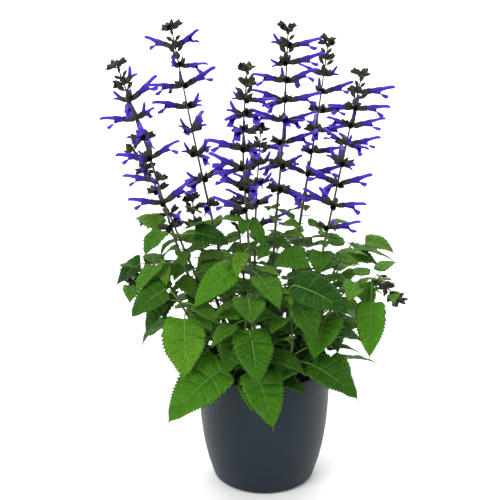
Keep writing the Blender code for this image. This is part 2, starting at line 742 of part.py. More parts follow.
ALL_STEMS = {}
for group, root_half, tip_half in (
    (FLOWER_STEMS, STEM_ROOT_HALF, STEM_TIP_HALF),
    (BUD_STEMS, SHOOT_ROOT_HALF, SHOOT_TIP_HALF),
    (LEAFY_SHOOTS, SHOOT_ROOT_HALF, SHOOT_TIP_HALF),
):
    for key, stem in group.items():
        path = stem_path(stem)
        stem.update(path=path, sums=lengths_of(path), seed=len(ALL_STEMS) + 1)
        stem.update(root_half=root_half, tip_half=tip_half)
        ALL_STEMS[key] = stem


def main():
    clear_scene()
    built = [build_pot(), build_soil()]
    for key, stem in FLOWER_STEMS.items():
        start = stem["sums"][-1] - stem["spike"]
        built.append(build_stem("stem_" + key, stem, start, [], STEM_GREEN))
        built.append(build_spike("flower_spike_" + key, stem, start + FIT_GAP))
    for key, stem in BUD_STEMS.items():
        built.append(build_stem("bud_stem_" + key, stem, None, whorl_stops(stem), DARK_STEM))
    for key, stem in LEAFY_SHOOTS.items():
        end = stem["sums"][-1]
        built.append(build_stem("shoot_" + key, stem, end, whorl_stops(stem), STEM_GREEN))
    placed = [tree_of(obj) for obj in built]
    for name, wanted in LEAVES.items():
        blade = settled_leaf(wanted, placed)
        placed.append(tree_of(add_object("leaf_" + name, blade, LEAF_GREEN, 0.55, crease=math.radians(80))))


main()
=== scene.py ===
"""The potted sage: a flowering salvia in a round cover pot, built on its CAD frame. Metres, +Z up."""

import math
import random

import bmesh
import bpy
from mathutils import Matrix, Quaternion, Vector
from mathutils.bvhtree import BVHTree


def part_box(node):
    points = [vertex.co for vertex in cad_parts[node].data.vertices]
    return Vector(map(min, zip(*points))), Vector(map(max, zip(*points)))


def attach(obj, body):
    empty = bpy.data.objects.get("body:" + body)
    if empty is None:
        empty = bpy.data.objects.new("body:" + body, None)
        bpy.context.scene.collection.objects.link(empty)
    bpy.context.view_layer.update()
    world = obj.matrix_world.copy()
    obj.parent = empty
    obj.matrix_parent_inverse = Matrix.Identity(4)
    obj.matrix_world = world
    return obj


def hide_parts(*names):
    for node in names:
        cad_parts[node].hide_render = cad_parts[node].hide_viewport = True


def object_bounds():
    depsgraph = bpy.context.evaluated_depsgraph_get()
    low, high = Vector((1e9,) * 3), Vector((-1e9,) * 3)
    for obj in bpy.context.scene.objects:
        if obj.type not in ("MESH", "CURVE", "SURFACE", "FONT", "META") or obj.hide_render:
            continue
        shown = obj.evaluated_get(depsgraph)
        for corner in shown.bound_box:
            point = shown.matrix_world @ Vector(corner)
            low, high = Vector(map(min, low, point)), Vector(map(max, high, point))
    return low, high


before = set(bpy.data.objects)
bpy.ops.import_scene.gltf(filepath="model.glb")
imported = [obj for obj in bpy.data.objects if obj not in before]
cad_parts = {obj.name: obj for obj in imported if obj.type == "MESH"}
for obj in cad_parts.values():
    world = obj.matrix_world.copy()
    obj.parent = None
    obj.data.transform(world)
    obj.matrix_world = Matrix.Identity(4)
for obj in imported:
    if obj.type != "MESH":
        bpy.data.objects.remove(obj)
cad_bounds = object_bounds()

# ------------------------------------------------------------------ the pot
# A round cover pot of dark slate-grey plastic, moulded in one piece: a thin upright wall that swells out of
# a rounded heel, a small rolled lip, and a foot that is hollowed a little so that it stands on a ring.

WELD = 0.00001
POT_TURNS = 144
POT_SPINDLE = 0.05
POT_FINE = 6
LIP_FINE = 3
POT_SHARP = 35
FADE_POWER = 1.6
NOISE_SWING = 2.6
FOOT_RING = 0.007
FOOT_HOLLOW = 0.0014
LIP_DEPTH = 0.003


class Figure:
    """A number worked out inside a node tree. Arithmetic on it adds the node that does the same there."""

    def __init__(self, tree, socket):
        self.tree = tree
        self.socket = socket

    def work(self, operation, *others):
        node = self.tree.nodes.new("ShaderNodeMath")
        node.operation = operation
        for socket, value in zip(node.inputs, (self, *others)):
            feed(self.tree, socket, value)
        return Figure(self.tree, node.outputs[0])

    def __add__(self, other):
        return self.work("ADD", other)

    def __sub__(self, other):
        return self.work("SUBTRACT", other)

    def __mul__(self, other):
        return self.work("MULTIPLY", other)

    def __truediv__(self, other):
        return self.work("DIVIDE", other)

    def __pow__(self, other):
        return self.work("POWER", other)

    def __rsub__(self, other):
        return self.work("MULTIPLY", -1.0).work("ADD", other)

    __radd__ = __add__
    __rmul__ = __mul__

    def size(self):
        return self.work("ABSOLUTE")

    def sine(self):
        return self.work("SINE")

    def loose_part(self):
        return self.work("FRACT")

    def least(self, other):
        return self.work("MINIMUM", other)

    def most(self, other):
        return self.work("MAXIMUM", other)

    def near_zero(self, width):
        """1 where this figure is 0, falling smoothly to 0 at this width on both sides."""
        return (1.0 - (self.size() / width).least(1.0)) ** FADE_POWER

    def as_share(self):
        """This figure, kept between 0 and 1."""
        return self.most(0.0).least(1.0)


def feed(tree, socket, value):
    """Puts a value into a socket: a figure or another node's socket is linked, and anything else is set."""
    if isinstance(value, Figure):
        value = value.socket
    if isinstance(value, bpy.types.NodeSocket):
        tree.links.new(value, socket)
    else:
        socket.default_value = value


def step(tree, kind, feeds=(), **settings):
    """One node of a tree with its settings, and what goes into its sockets."""
    node = tree.nodes.new(kind)
    for name, value in settings.items():
        setattr(node, name, value)
    for key, value in dict(feeds).items():
        feed(tree, node.inputs[key], value)
    return node


def grown(tree, kind, feeds=(), **settings):
    """What a new node of a geometry tree gives first."""
    return step(tree, "GeometryNode" + kind, feeds, **settings).outputs[0]


def in_one(tree, *parts):
    """Several geometries as one, in a geometry tree."""
    join = step(tree, "GeometryNodeJoinGeometry")
    for part in parts:
        feed(tree, join.inputs["Geometry"], part)
    return join.outputs["Geometry"]


def new_recipe(name, sizes):
    """An empty geometry tree that takes one geometry and a named input for each of its sizes."""
    tree = bpy.data.node_groups.new(name, "GeometryNodeTree")
    tree.interface.new_socket("Geometry", in_out="OUTPUT", socket_type="NodeSocketGeometry")
    tree.interface.new_socket("Geometry", in_out="INPUT", socket_type="NodeSocketGeometry")
    for label, value in sizes.items():
        kind = "NodeSocketInt" if isinstance(value, int) else "NodeSocketFloat"
        tree.interface.new_socket(label, in_out="INPUT", socket_type=kind).default_value = value
    entry = tree.nodes.new("NodeGroupInput")
    figures = {label: Figure(tree, entry.outputs[label]) for label in sizes}
    return tree, entry.outputs["Geometry"], figures


def end_recipe(tree, geometry, *finishes):
    """Ends a tree: instances made real, then its finishes, each a material and the field that it goes on."""
    real = step(tree, "GeometryNodeRealizeInstances", {"Geometry": geometry})
    geometry = real.outputs["Geometry"]
    for material, where in finishes:
        coat = step(tree, "GeometryNodeSetMaterial", {"Geometry": geometry, "Material": material})
        if where is not None:
            feed(tree, coat.inputs["Selection"], where)
        geometry = coat.outputs["Geometry"]
    feed(tree, step(tree, "NodeGroupOutput").inputs["Geometry"], geometry)


def stored(tree, geometry, name, value, domain="POINT"):
    """The same geometry with a figure kept on it under a name, for its material or a later step."""
    keep = step(tree, "GeometryNodeStoreNamedAttribute", {"Geometry": geometry, "Name": name}, domain=domain)
    feed(tree, keep.inputs["Value"], value)
    return keep.outputs["Geometry"]


def made_by(tree, source, sizes=None):
    """The plain mesh that a tree makes of a source mesh with these sizes."""
    worker = bpy.data.objects.new("worker", source)
    bpy.context.scene.collection.objects.link(worker)
    modifier = worker.modifiers.new(tree.name, "NODES")
    modifier.node_group = tree
    for item in tree.interface.items_tree:
        if item.in_out == "INPUT" and item.name in (sizes or {}):
            modifier[item.identifier] = sizes[item.name]
    mesh = bpy.data.meshes.new_from_object(worker.evaluated_get(bpy.context.evaluated_depsgraph_get()))
    bpy.data.objects.remove(worker)
    bpy.data.meshes.remove(source)
    worn = [material for material in mesh.materials if material]
    order = [worn.index(material) if material else 0 for material in mesh.materials]
    worn_by = [order[face.material_index] for face in mesh.polygons]
    mesh.materials.clear()
    for material in worn:
        mesh.materials.append(material)
    mesh.polygons.foreach_set("material_index", worn_by)
    return mesh


def fitted(name, mesh, slot, *nodes):
    """A finished piece, riding on the pot's body in place of its CAD nodes."""
    piece = bpy.data.objects.new(name, mesh)
    bpy.context.scene.collection.objects.link(piece)
    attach(piece, "root")
    if nodes:
        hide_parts(*nodes)
    return piece


def point_mesh(points, in_line=True, **kept):
    """A mesh of points, joined one to the next if they are in line, that keeps named values at each point."""
    mesh = bpy.data.meshes.new("points")
    edges = [(i, i + 1) for i in range(len(points) - 1)] if in_line else []
    mesh.from_pydata([tuple(point) for point in points], edges, [])
    kinds = {float: "FLOAT", int: "INT", Vector: "FLOAT_VECTOR", Quaternion: "QUATERNION"}
    for name, values in kept.items():
        mesh.attributes.new(name, kinds[type(values[0])], "POINT")
    for name, values in kept.items():
        holder = mesh.attributes[name]
        for i, value in enumerate(values):
            if isinstance(value, Vector):
                holder.data[i].vector = value
            else:
                holder.data[i].value = value
    return mesh


def merged_cad(node):
    """A CAD node's surface with its loose triangles joined at their corners."""
    bm = bmesh.new()
    bm.from_mesh(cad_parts[node].data)
    bmesh.ops.remove_doubles(bm, verts=bm.verts, dist=WELD)
    bm.verts.index_update()
    bm.verts.ensure_lookup_table()
    return bm


def smooth_line(points, fine):
    """The smooth curve through these points, as many times finer."""
    out = []
    for i in range(len(points) - 1):
        a, b = points[i], points[i + 1]
        before = points[i - 1] if i else 2 * a - b
        after = points[i + 2] if i + 2 < len(points) else 2 * b - a
        for j in range(fine):
            t = j / fine
            curve = (2 * before - 5 * a + 4 * b - after) * t * t + (3 * a - before - 3 * b + after) * t**3
            out.append(0.5 * (2 * a + (b - before) * t + curve))
    return out + [points[-1]]


def new_finish(name, colour, roughness):
    """A material with its tree and shader, and this colour where no node gives one."""
    material = bpy.data.materials.new(name)
    material.use_nodes = True
    tree = material.node_tree
    shader = tree.nodes["Principled BSDF"]
    shader.inputs["Base Color"].default_value = (*colour, 1.0)
    shader.inputs["Roughness"].default_value = roughness
    material.diffuse_color = (*colour, 1.0)
    return material, tree, shader


def noise_of(tree, scale, detail=2.0, stretch=(1.0, 1.0, 1.0)):
    """A figure from -1 to 1 that wanders over the piece, this many times a metre."""
    place = step(tree, "ShaderNodeTexCoord").outputs["Object"]
    turned = step(tree, "ShaderNodeMapping", {"Vector": place, "Scale": stretch}).outputs["Vector"]
    noise = step(tree, "ShaderNodeTexNoise", {"Vector": turned, "Scale": scale, "Detail": detail})
    return (Figure(tree, noise.outputs["Fac"]) - 0.5) * NOISE_SWING


def blended(tree, share, first, second):
    """One colour fading into another as a share goes from 0 to 1."""
    mix = step(tree, "ShaderNodeMix", {"Factor": share}, data_type="RGBA")
    for letter, colour in (("A", first), ("B", second)):
        socket = next(s for s in mix.inputs if s.name == letter and s.type == "RGBA")
        feed(tree, socket, (*colour, 1.0) if isinstance(colour, tuple) else colour)
    return next(s for s in mix.outputs if s.type == "RGBA")


def raised(tree, shader, height, depth, strength=1.0):
    """Fine relief on a finish, from a height figure and its depth in metres."""
    bump = step(tree, "ShaderNodeBump", {"Strength": strength, "Distance": depth})
    feed(tree, bump.inputs["Height"], height)
    feed(tree, shader.inputs["Normal"], bump.outputs["Normal"])


SLATE = (0.0085, 0.0165, 0.0235)
SLATE_DUSTY = (0.0125, 0.0220, 0.0300)
slate, tree, shader = new_finish("slate_plastic", SLATE, 0.42)
shader.inputs["Specular IOR Level"].default_value = 0.16
cloudy = noise_of(tree, 14.0, 3.0)
feed(tree, shader.inputs["Base Color"], blended(tree, cloudy * 0.35 + 0.35, SLATE, SLATE_DUSTY))
feed(tree, shader.inputs["Roughness"], noise_of(tree, 60.0) * 0.04 + 0.43)
raised(tree, shader, noise_of(tree, 1600.0, 2.0), 0.00006, 0.5)

pot_bm = merged_cad("pot")
rows = {}
for vert in pot_bm.verts:
    rows.setdefault(round(vert.co.z, 5), set()).add(round(math.hypot(vert.co.x, vert.co.y), 5))
pot_bm.free()
levels = sorted(rows)
floor_level = next(z for low, z in zip(levels, levels[1:]) if max(rows[z]) < max(rows[low]))
outside = [Vector((max(radii), z)) for z, radii in sorted(rows.items()) if z != floor_level]
inside = [Vector((min(radii), z)) for z, radii in sorted(rows.items(), reverse=True) if len(radii) > 1]
inside = [point for point in inside if point.y > floor_level]
corner = Vector((max(rows[floor_level]), floor_level))
foot_edge = outside[0].x
lip_start = max(i for i, point in enumerate(outside) if point.y < outside[-1].y - LIP_DEPTH)
lip_end = min(i for i, point in enumerate(inside) if point.y < outside[-1].y - LIP_DEPTH)
profile = [Vector((0.0, FOOT_HOLLOW)), Vector((foot_edge - FOOT_RING - FOOT_HOLLOW, FOOT_HOLLOW))]
profile += [Vector((foot_edge - FOOT_RING, 0.0))]
profile += smooth_line(outside[: lip_start + 1], POT_FINE)
profile += smooth_line(outside[lip_start + 1 :] + inside[:lip_end], LIP_FINE)
profile += smooth_line(inside[lip_end:] + [corner], POT_FINE) + [Vector((0.0, floor_level))]

turning, given, sizes = new_recipe("Turned Pot", {"Turns": POT_TURNS, "Spindle Radius": POT_SPINDLE})
shape = grown(turning, "MeshToCurve", {"Mesh": given})
ring_sizes = {"Resolution": sizes["Turns"], "Radius": sizes["Spindle Radius"]}
circle = grown(turning, "CurvePrimitiveCircle", ring_sizes)
wall = grown(turning, "CurveToMesh", {"Curve": circle, "Profile Curve": shape})
welded = grown(turning, "MergeByDistance", {"Geometry": wall, "Distance": WELD})
rounded = grown(turning, "SetShadeSmooth", {"Geometry": welded})
end_recipe(turning, rounded, (slate, None))

pot_mesh = made_by(turning, point_mesh([(p.x - POT_SPINDLE, -p.y, 0.0) for p in profile]))
fitted("cover_pot", pot_mesh, "pot", "pot")
fixing = bmesh.new()
fixing.from_mesh(pot_mesh)
bmesh.ops.recalc_face_normals(fixing, faces=fixing.faces)
fixing.to_mesh(pot_mesh)
fixing.free()
pot_mesh.set_sharp_from_angle(angle=math.radians(POT_SHARP))

# ------------------------------------------------------------------ the soil
# Peaty potting soil, dark and crumbly, filled to two centimetres below the pot's lip. Its top is rough and
# is scattered with loose crumbs and bits of bark.

SOIL_DARK = (0.012, 0.008, 0.005)
SOIL_LIGHT = (0.050, 0.032, 0.020)
BARK = (0.090, 0.055, 0.030)
SOIL_TOP_BAND = 0.0045
ANY_TURN = (6.28, 6.28, 6.28)
FLATTEST = (0.25, 0.4, 0.25)
ROUNDEST = (1.0, 1.6, 0.8)

peat, tree, shader = new_finish("peat", SOIL_DARK, 0.95)
grain = noise_of(tree, 420.0, 4.0)
flecks = ((noise_of(tree, 900.0, 1.0) - 0.55).most(0.0) * 2.2).least(1.0)
earth = blended(tree, grain * 0.4 + 0.4, SOIL_DARK, SOIL_LIGHT)
feed(tree, shader.inputs["Base Color"], blended(tree, flecks, earth, BARK))
raised(tree, shader, grain, 0.0008, 0.9)


def position_in(tree):
    """The three figures of a point's own place, in a geometry tree."""
    spot = grown(tree, "InputPosition")
    return [Figure(tree, part) for part in step(tree, "ShaderNodeSeparateXYZ", {"Vector": spot}).outputs]


crumbling, given, sizes = new_recipe(
    "Crumbly Soil",
    {"Roughness": 0.0016, "Top Level": 0.150, "Crumbs": 42000.0, "Crumb Size": 0.0017, "Seed": 7},
)
finer = grown(crumbling, "SubdivideMesh", {"Mesh": given, "Level": 2})
on_top = position_in(crumbling)[2].work("GREATER_THAN", sizes["Top Level"])
lumps = step(crumbling, "ShaderNodeTexNoise", {"Scale": 160.0, "Detail": 4.0})
rise = (Figure(crumbling, lumps.outputs["Fac"]) - 0.5) * 2.0 * sizes["Roughness"] * on_top
lift = step(crumbling, "ShaderNodeCombineXYZ", {"Z": rise})
rough = grown(crumbling, "SetPosition", {"Geometry": finer, "Offset": lift.outputs["Vector"]})
spots = grown(
    crumbling,
    "DistributePointsOnFaces",
    {"Mesh": rough, "Selection": on_top, "Density": sizes["Crumbs"], "Seed": sizes["Seed"]},
)
crumb = grown(crumbling, "MeshIcoSphere", {"Radius": sizes["Crumb Size"], "Subdivisions": 1})
spin, squat = (
    step(crumbling, "FunctionNodeRandomValue", {"Min": least, "Max": most}, data_type="FLOAT_VECTOR")
    for least, most in (((0.0, 0.0, 0.0), ANY_TURN), (FLATTEST, ROUNDEST))
)
scatter = grown(
    crumbling,
    "InstanceOnPoints",
    {
        "Points": spots,
        "Instance": crumb,
        "Rotation": spin.outputs["Value"],
        "Scale": squat.outputs["Value"],
    },
)
end_recipe(crumbling, in_one(crumbling, rough, scatter), (peat, None))

soil_bm = merged_cad("potting_soil")
soil_mesh = bpy.data.meshes.new("soil")
soil_bm.to_mesh(soil_mesh)
soil_bm.free()
soil_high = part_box("potting_soil")[1]
soil_mesh = made_by(crumbling, soil_mesh, {"Top Level": soil_high.z - SOIL_TOP_BAND})
fitted("crumbly_soil", soil_mesh, "soil", "potting_soil")

# ------------------------------------------------------------------ the stems
# Sage stems are square, with softly rounded corners. They stand in the soil, swell a little at each joint,
# and turn from olive green low down to nearly black where they flower.

STEM_FINE = 8
JOINT_SWELL = 0.28
JOINT_REACH = 0.006
STEM_OLIVE = (0.060, 0.110, 0.022)
STEM_BLACK = (0.024, 0.022, 0.016)
STEM_JOINT = (0.110, 0.150, 0.040)
STEM_PURPLE = (0.040, 0.020, 0.022)
# A stem with more corners than this carries flowers or buds.
PLAIN_CORNERS = 60
RING_SPAN = 2.6
LEAF_FOOT_SIZE = 0.0024
LEAF_TO_STEM = 0.03
BLACK_FROM = 0.06
BLACK_OVER = 0.26


def worn(tree, name):
    """What a piece says about itself under a name, as a figure in its material."""
    return Figure(tree, step(tree, "ShaderNodeAttribute", attribute_name=name).outputs["Fac"])


def kept_value(tree, name, kind="FLOAT"):
    """What a point says about itself under a name, in a geometry tree."""
    return grown(tree, "InputNamedAttribute", {"Name": name}, data_type=kind)


stem_skin, tree, shader = new_finish("stem_skin", STEM_OLIVE, 0.55)
streak = noise_of(tree, 500.0, 2.0, stretch=(1.0, 1.0, 0.06))
colour = blended(tree, (worn(tree, "ripe") + streak * 0.12).as_share(), STEM_OLIVE, STEM_BLACK)
colour = blended(tree, (noise_of(tree, 45.0) * 0.35).most(0.0).least(0.5), colour, STEM_PURPLE)
feed(tree, shader.inputs["Base Color"], blended(tree, worn(tree, "joint") * 0.55, colour, STEM_JOINT))
raised(tree, shader, streak, 0.0002, 0.7)

squaring, given, sizes = new_recipe("Square Stem", {"Corner Radius": 0.55, "Corner Steps": 2})
path = grown(squaring, "MeshToCurve", {"Mesh": given})
square = grown(squaring, "CurvePrimitiveQuadrilateral", {"Width": 2.0, "Height": 2.0})
softened = grown(
    squaring,
    "FilletCurve",
    {"Curve": square, "Count": sizes["Corner Steps"], "Radius": sizes["Corner Radius"]},
    mode="POLY",
)
stalk = grown(
    squaring,
    "CurveToMesh",
    {"Curve": path, "Profile Curve": softened, "Scale": kept_value(squaring, "thick"), "Fill Caps": True},
)
smooth = grown(squaring, "SetShadeSmooth", {"Geometry": stalk})
end_recipe(squaring, smooth, (stem_skin, None))


def stem_rings(bm, first, heading):
    """The four-cornered rings of a CAD stem, from its first ring up. A ring that lost corners where two flat
    sides were joined is passed over."""
    rings = [first]
    front, seen = list(first), set(first)
    while True:
        centre = sum((vert.co for vert in rings[-1]), Vector()) / 4
        reach = max((vert.co - centre).length for vert in rings[-1])
        if len(rings) > 1:
            heading = (centre - sum((vert.co for vert in rings[-2]), Vector()) / 4).normalized()
        near = {edge.other_vert(vert) for vert in front for edge in vert.link_edges} - seen
        if not near:
            return rings
        ranked = sorted(near, key=lambda vert: ((vert.co - centre).cross(heading).length, vert.index))[:4]
        closest = min(ranked, key=lambda vert: (vert.co - centre).length)
        ring = [vert for vert in ranked if (vert.co - closest.co).length < RING_SPAN * reach]
        seen |= set(ring)
        if len(ring) == 4:
            rings.append(ring)
            front = ring
        elif len(near) < 4 and front == rings[-1]:
            return rings
        else:
            front = front + ring


def ring_centres(rings):
    """The middle and half width of each ring."""
    out = []
    for ring in rings:
        centre = sum((vert.co for vert in ring), Vector()) / 4
        reach = sum((vert.co - centre).length for vert in ring) / 4
        out.append((centre, reach / math.sqrt(2)))
    return out


def fine_stem(centres):
    """The smooth path through a stem's middles, and its half width at each point."""
    points = smooth_line([centre for centre, _ in centres], STEM_FINE)
    halves = smooth_line([Vector((half, 0)) for _, half in centres], STEM_FINE)
    return points, [half.x for half in halves]


def stem_line(centres, joints, darkening):
    """The smooth path of a stem as a line mesh that keeps its half width, ripeness and joints."""
    points, halves = fine_stem(centres)
    near = [min([(point - place).length for place in joints] or [1.0]) for point in points]
    swells = [math.exp(-((distance / JOINT_REACH) ** 2)) for distance in near]
    thick = [half * (1 + JOINT_SWELL * swell) for half, swell in zip(halves, swells)]
    return point_mesh(points, thick=thick, ripe=[float(darkening(point)) for point in points], joint=swells)


soil_top = soil_high.z


def flower_stem_ripeness(point):
    """How far a flower stem has turned black at this height."""
    return min(1.0, max(0.0, (point.z - soil_top - BLACK_FROM) / BLACK_OVER))


def shoot_ripeness(point):
    """A leafy shoot darkens only a little."""
    return min(0.35, max(0.0, (point.z - soil_top) / 0.5))


cad_leaves = sorted(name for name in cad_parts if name.startswith("leaf_"))
leaf_rows = {}


def leaf_rings(node):
    """The six-cornered rings of a CAD leaf, from its stalk's foot to its tip."""
    bm = merged_cad(node)
    ends = farthest(bm, farthest(bm, bm.verts[0])), farthest(bm, bm.verts[0])
    caps = [[vert for vert in bm.verts if (vert.co - end.co).length < LEAF_FOOT_SIZE] for end in ends]
    foot = min(caps, key=lambda cap: min((cap[0].co - place).length for place in stem_places))
    ring, seen, rings = list(foot), set(foot), []
    while ring:
        rings.append([vert.co.copy() for vert in ring])
        near = {edge.other_vert(vert) for vert in ring for edge in vert.link_edges} - seen
        seen |= near
        ring = sorted(near, key=lambda vert: vert.index)
    bm.free()
    return rings


def farthest(bm, start):
    """The vertex that is the most edges away from another."""
    ring, seen = [start], {start}
    while True:
        near = {edge.other_vert(vert) for vert in ring for edge in vert.link_edges} - seen
        if not near:
            return min(ring, key=lambda vert: vert.index)
        seen |= near
        ring = list(near)


stems = {}
for name in sorted(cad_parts):
    if name.startswith(("stem_", "shoot_", "bud_stem_")):
        bm = merged_cad(name)
        first = sorted(bm.verts, key=lambda vert: vert.co.z)[:4]
        stems[name] = {"bm": bm, "rings": stem_rings(bm, first, Vector((0, 0, 1)))}
for name, stem in stems.items():
    stem["centres"] = ring_centres(stem["rings"])
for name in sorted(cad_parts):
    if name.startswith("flower_spike_"):
        bm = merged_cad(name)
        below = stems[name.replace("flower_spike_", "stem_")]["centres"]
        foot = below[-1][0]
        first = sorted(bm.verts, key=lambda vert: (vert.co - foot).length)[:4]
        rings = stem_rings(bm, first, (below[-1][0] - below[-2][0]).normalized())
        stems[name] = {"bm": bm, "rings": rings, "centres": ring_centres(rings)}

stem_places = []
for stem in stems.values():
    stem_places += fine_stem(stem["centres"])[0]
for name in cad_leaves:
    leaf_rows[name] = leaf_rings(name)
leaf_feet = [sum(rings[0], Vector()) / 6 for rings in leaf_rows.values()]

for name in sorted(stems):
    stem = stems[name]
    middles = [centre for centre, _ in stem["centres"]]
    joints = [foot for foot in leaf_feet if min((foot - middle).length for middle in middles) < LEAF_TO_STEM]
    stem["joints"] = joints
    if name.startswith(("stem_", "shoot_")) and len(stem["bm"].verts) < PLAIN_CORNERS:
        dark = flower_stem_ripeness if name.startswith("stem_") else shoot_ripeness
        mesh = made_by(squaring, stem_line(stem["centres"], joints, dark))
        fitted("square_" + name, mesh, "stem", name)

# ------------------------------------------------------------------ the flowers
# Each flower stands on a short stalk in a nearly black, bell-shaped calyx with pointed teeth. Its violet-blue
# tube widens to a throat with a long narrow hood above and a broad, drooping lower lip. Buds and spent
# calyces have the same dark skin. They stand in whorls round the square stem.

AROUND = 12
YOUNG_PAIRS = 6
YOUNG_GAP = 0.005
PETAL_THICKNESS = 0.0003
CALYX_THICKNESS = 0.0004
BENT_FINE = 60
CALYX_FOOT = 0.0007
CALYX_BRIM = 0.0006
BUD_KEEL = 1.18
HOOD_LENGTH = 0.0185
LIP_LENGTH = 0.0135
# Each calyx and tube as sections: how far along the flower, half width and half height.
OPEN_CALYX = [
    (0.0030, 0.0014, 0.0014),
    (0.0052, 0.0030, 0.0031),
    (0.0090, 0.0036, 0.0038),
    (0.0125, 0.0037, 0.0040),
]
NARROW_CALYX = [
    (0.0028, 0.0014, 0.0014),
    (0.0050, 0.0032, 0.0033),
    (0.0085, 0.0036, 0.0038),
    (0.0120, 0.0030, 0.0032),
]
SPENT_CALYX = [
    (0.0026, 0.0014, 0.0014),
    (0.0046, 0.0030, 0.0031),
    (0.0080, 0.0036, 0.0038),
    (0.0106, 0.0038, 0.0040),
]
FLOWER_TUBE = [
    (0.0100, 0.0022, 0.0024),
    (0.0155, 0.0028, 0.0033),
    (0.0205, 0.0035, 0.0042),
    (0.0245, 0.0042, 0.0051),
    (0.0272, 0.0045, 0.0054),
]
THROAT = FLOWER_TUBE[-1][0]
CALYX_GREEN = (0.030, 0.032, 0.018)
CALYX_BLACK = (0.016, 0.012, 0.014)
# The first petal colour is painted shade, the second the petals' own violet, the third a painted highlight.
PETAL_SHADED = (0.012, 0.002, 0.135)
PETAL_BRIGHT = (0.058, 0.016, 0.410)
PETAL_HIGHLIGHT = (0.150, 0.075, 0.640)

calyx_skin, tree, shader = new_finish("calyx_skin", CALYX_GREEN, 0.6)
ribs = noise_of(tree, 380.0, 2.0)
darker = (worn(tree, "along") * 0.9 + ribs * 0.25).as_share()
feed(tree, shader.inputs["Base Color"], blended(tree, darker, CALYX_GREEN, CALYX_BLACK))
shader.inputs["Specular IOR Level"].default_value = 0.25
raised(tree, shader, ribs, 0.0003, 0.8)

petal_skin, tree, shader = new_finish("petal_skin", PETAL_BRIGHT, 0.45)
veins = noise_of(tree, 420.0, 2.0)
# Painted shade: the petals are darkest at the tube's foot by the calyx and brighten towards the lips.
shade_to_lit = (worn(tree, "along") * 1.2 - 0.1 + veins * 0.25).as_share()
violet = blended(tree, shade_to_lit, PETAL_SHADED, PETAL_BRIGHT)
# Painted highlight: pale patches of a highlight colour, scattered by noise over the petals.
pale = (noise_of(tree, 130.0, 1.0) * 0.6 - 0.25).most(0.0).least(0.5)
feed(tree, shader.inputs["Base Color"], blended(tree, pale, violet, PETAL_HIGHLIGHT))
shader.inputs["Specular IOR Level"].default_value = 0.20
shader.inputs["Subsurface Weight"].default_value = 0.10
shader.inputs["Subsurface Radius"].default_value = (0.3, 0.2, 1.0)
shader.inputs["Subsurface Scale"].default_value = 0.002
raised(tree, shader, veins, 0.0003, 0.6)


def bent_line(length, bend):
    """A line from the origin along +X that bends down by an angle, as its points and directions."""
    points, directions = [Vector()], []
    for i in range(BENT_FINE):
        pitch = -math.radians(bend) * i / BENT_FINE
        directions.append(Vector((math.cos(pitch), 0, math.sin(pitch))))
        points.append(points[-1] + directions[-1] * length / BENT_FINE)
    return points, directions + [directions[-1]]


def on_line(line, length, distance):
    """The point, forward and up directions at a distance along a bent line, straight on past its end."""
    points, directions = line
    place = min(max(distance / length, 0.0), 1.0) * (len(points) - 1)
    i = min(int(place), len(points) - 2)
    point = points[i].lerp(points[i + 1], place - i)
    forward = directions[i]
    return point + forward * max(0.0, distance - length), forward, Vector((-forward.z, 0, forward.x))


def tube_rings(line, length, sections, around=AROUND):
    """Rings of points round a bent line, from (distance, half width, half height) sections."""
    rings = []
    for distance, wide, high in sections:
        point, _, up = on_line(line, length, distance)
        angles = [math.tau * i / around for i in range(around)]
        rings.append([point + Vector((0, wide * math.cos(a), 0)) + up * high * math.sin(a) for a in angles])
    return rings


class Petalwork:
    """The skin of one flower, bud or calyx as it is built up, with how far along it each point lies."""

    def __init__(self):
        self.bm = bmesh.new()
        self.along = self.bm.verts.layers.float.new("along")
        self.petal = self.bm.faces.layers.int.new("petal")

    def row(self, points, share):
        verts = [self.bm.verts.new(point) for point in points]
        for vert in verts:
            vert[self.along] = share
        return verts

    def skin(self, low, high, petal, closed=True):
        count = len(low)
        for i in range(count if closed else count - 1):
            j = (i + 1) % count
            face = self.bm.faces.new((low[i], low[j], high[j], high[i]))
            face[self.petal] = petal

    def tube(self, rings, petal, shares):
        """Skins a line of rings, each at its share of the way along."""
        rows = [self.row(ring, share) for ring, share in zip(rings, shares)]
        for low, high in zip(rows, rows[1:]):
            self.skin(low, high, petal)
        return rows

    def close(self, rows, petal):
        """Closes both ends of a tube."""
        for ring in (rows[0][::-1], rows[-1]):
            self.bm.faces.new(ring)[self.petal] = petal


def even_shares(rings, start=0.0, end=1.0):
    return [start + (end - start) * i / len(rings) for i in range(len(rings))]


def calyx_parts(work, line, length, sections, teeth, reach, around=AROUND):
    """A bell-shaped calyx with three pointed teeth, one above and two below, open at its mouth."""
    rings = tube_rings(line, length, sections, around)
    rows = work.tube(rings, 0, even_shares(rings))
    end, wide, high = sections[-1]
    point, forward, up = on_line(line, length, end)
    tips = []
    for i in range(around):
        angle = math.tau * i / around
        tooth = max(
            max(0.0, 1 - abs(math.remainder(angle - middle, math.tau)) / math.radians(span))
            for middle, span in ((math.pi / 2, 75), (math.radians(-38), 55), (math.radians(-142), 55))
        )
        out = Vector((0, math.cos(angle), 0)) + up * math.sin(angle)
        spread = Vector((0, wide * math.cos(angle), 0)) + up * high * math.sin(angle)
        tips.append(point + spread + forward * (CALYX_BRIM + teeth * tooth) + out * reach * tooth)
    work.skin(rows[-1], work.row(tips, 1.0), 0)
    foot = tube_rings(line, length, [(0.0, CALYX_FOOT, CALYX_FOOT)], around)[0]
    work.skin(work.row(foot, 0.0), rows[0], 0)


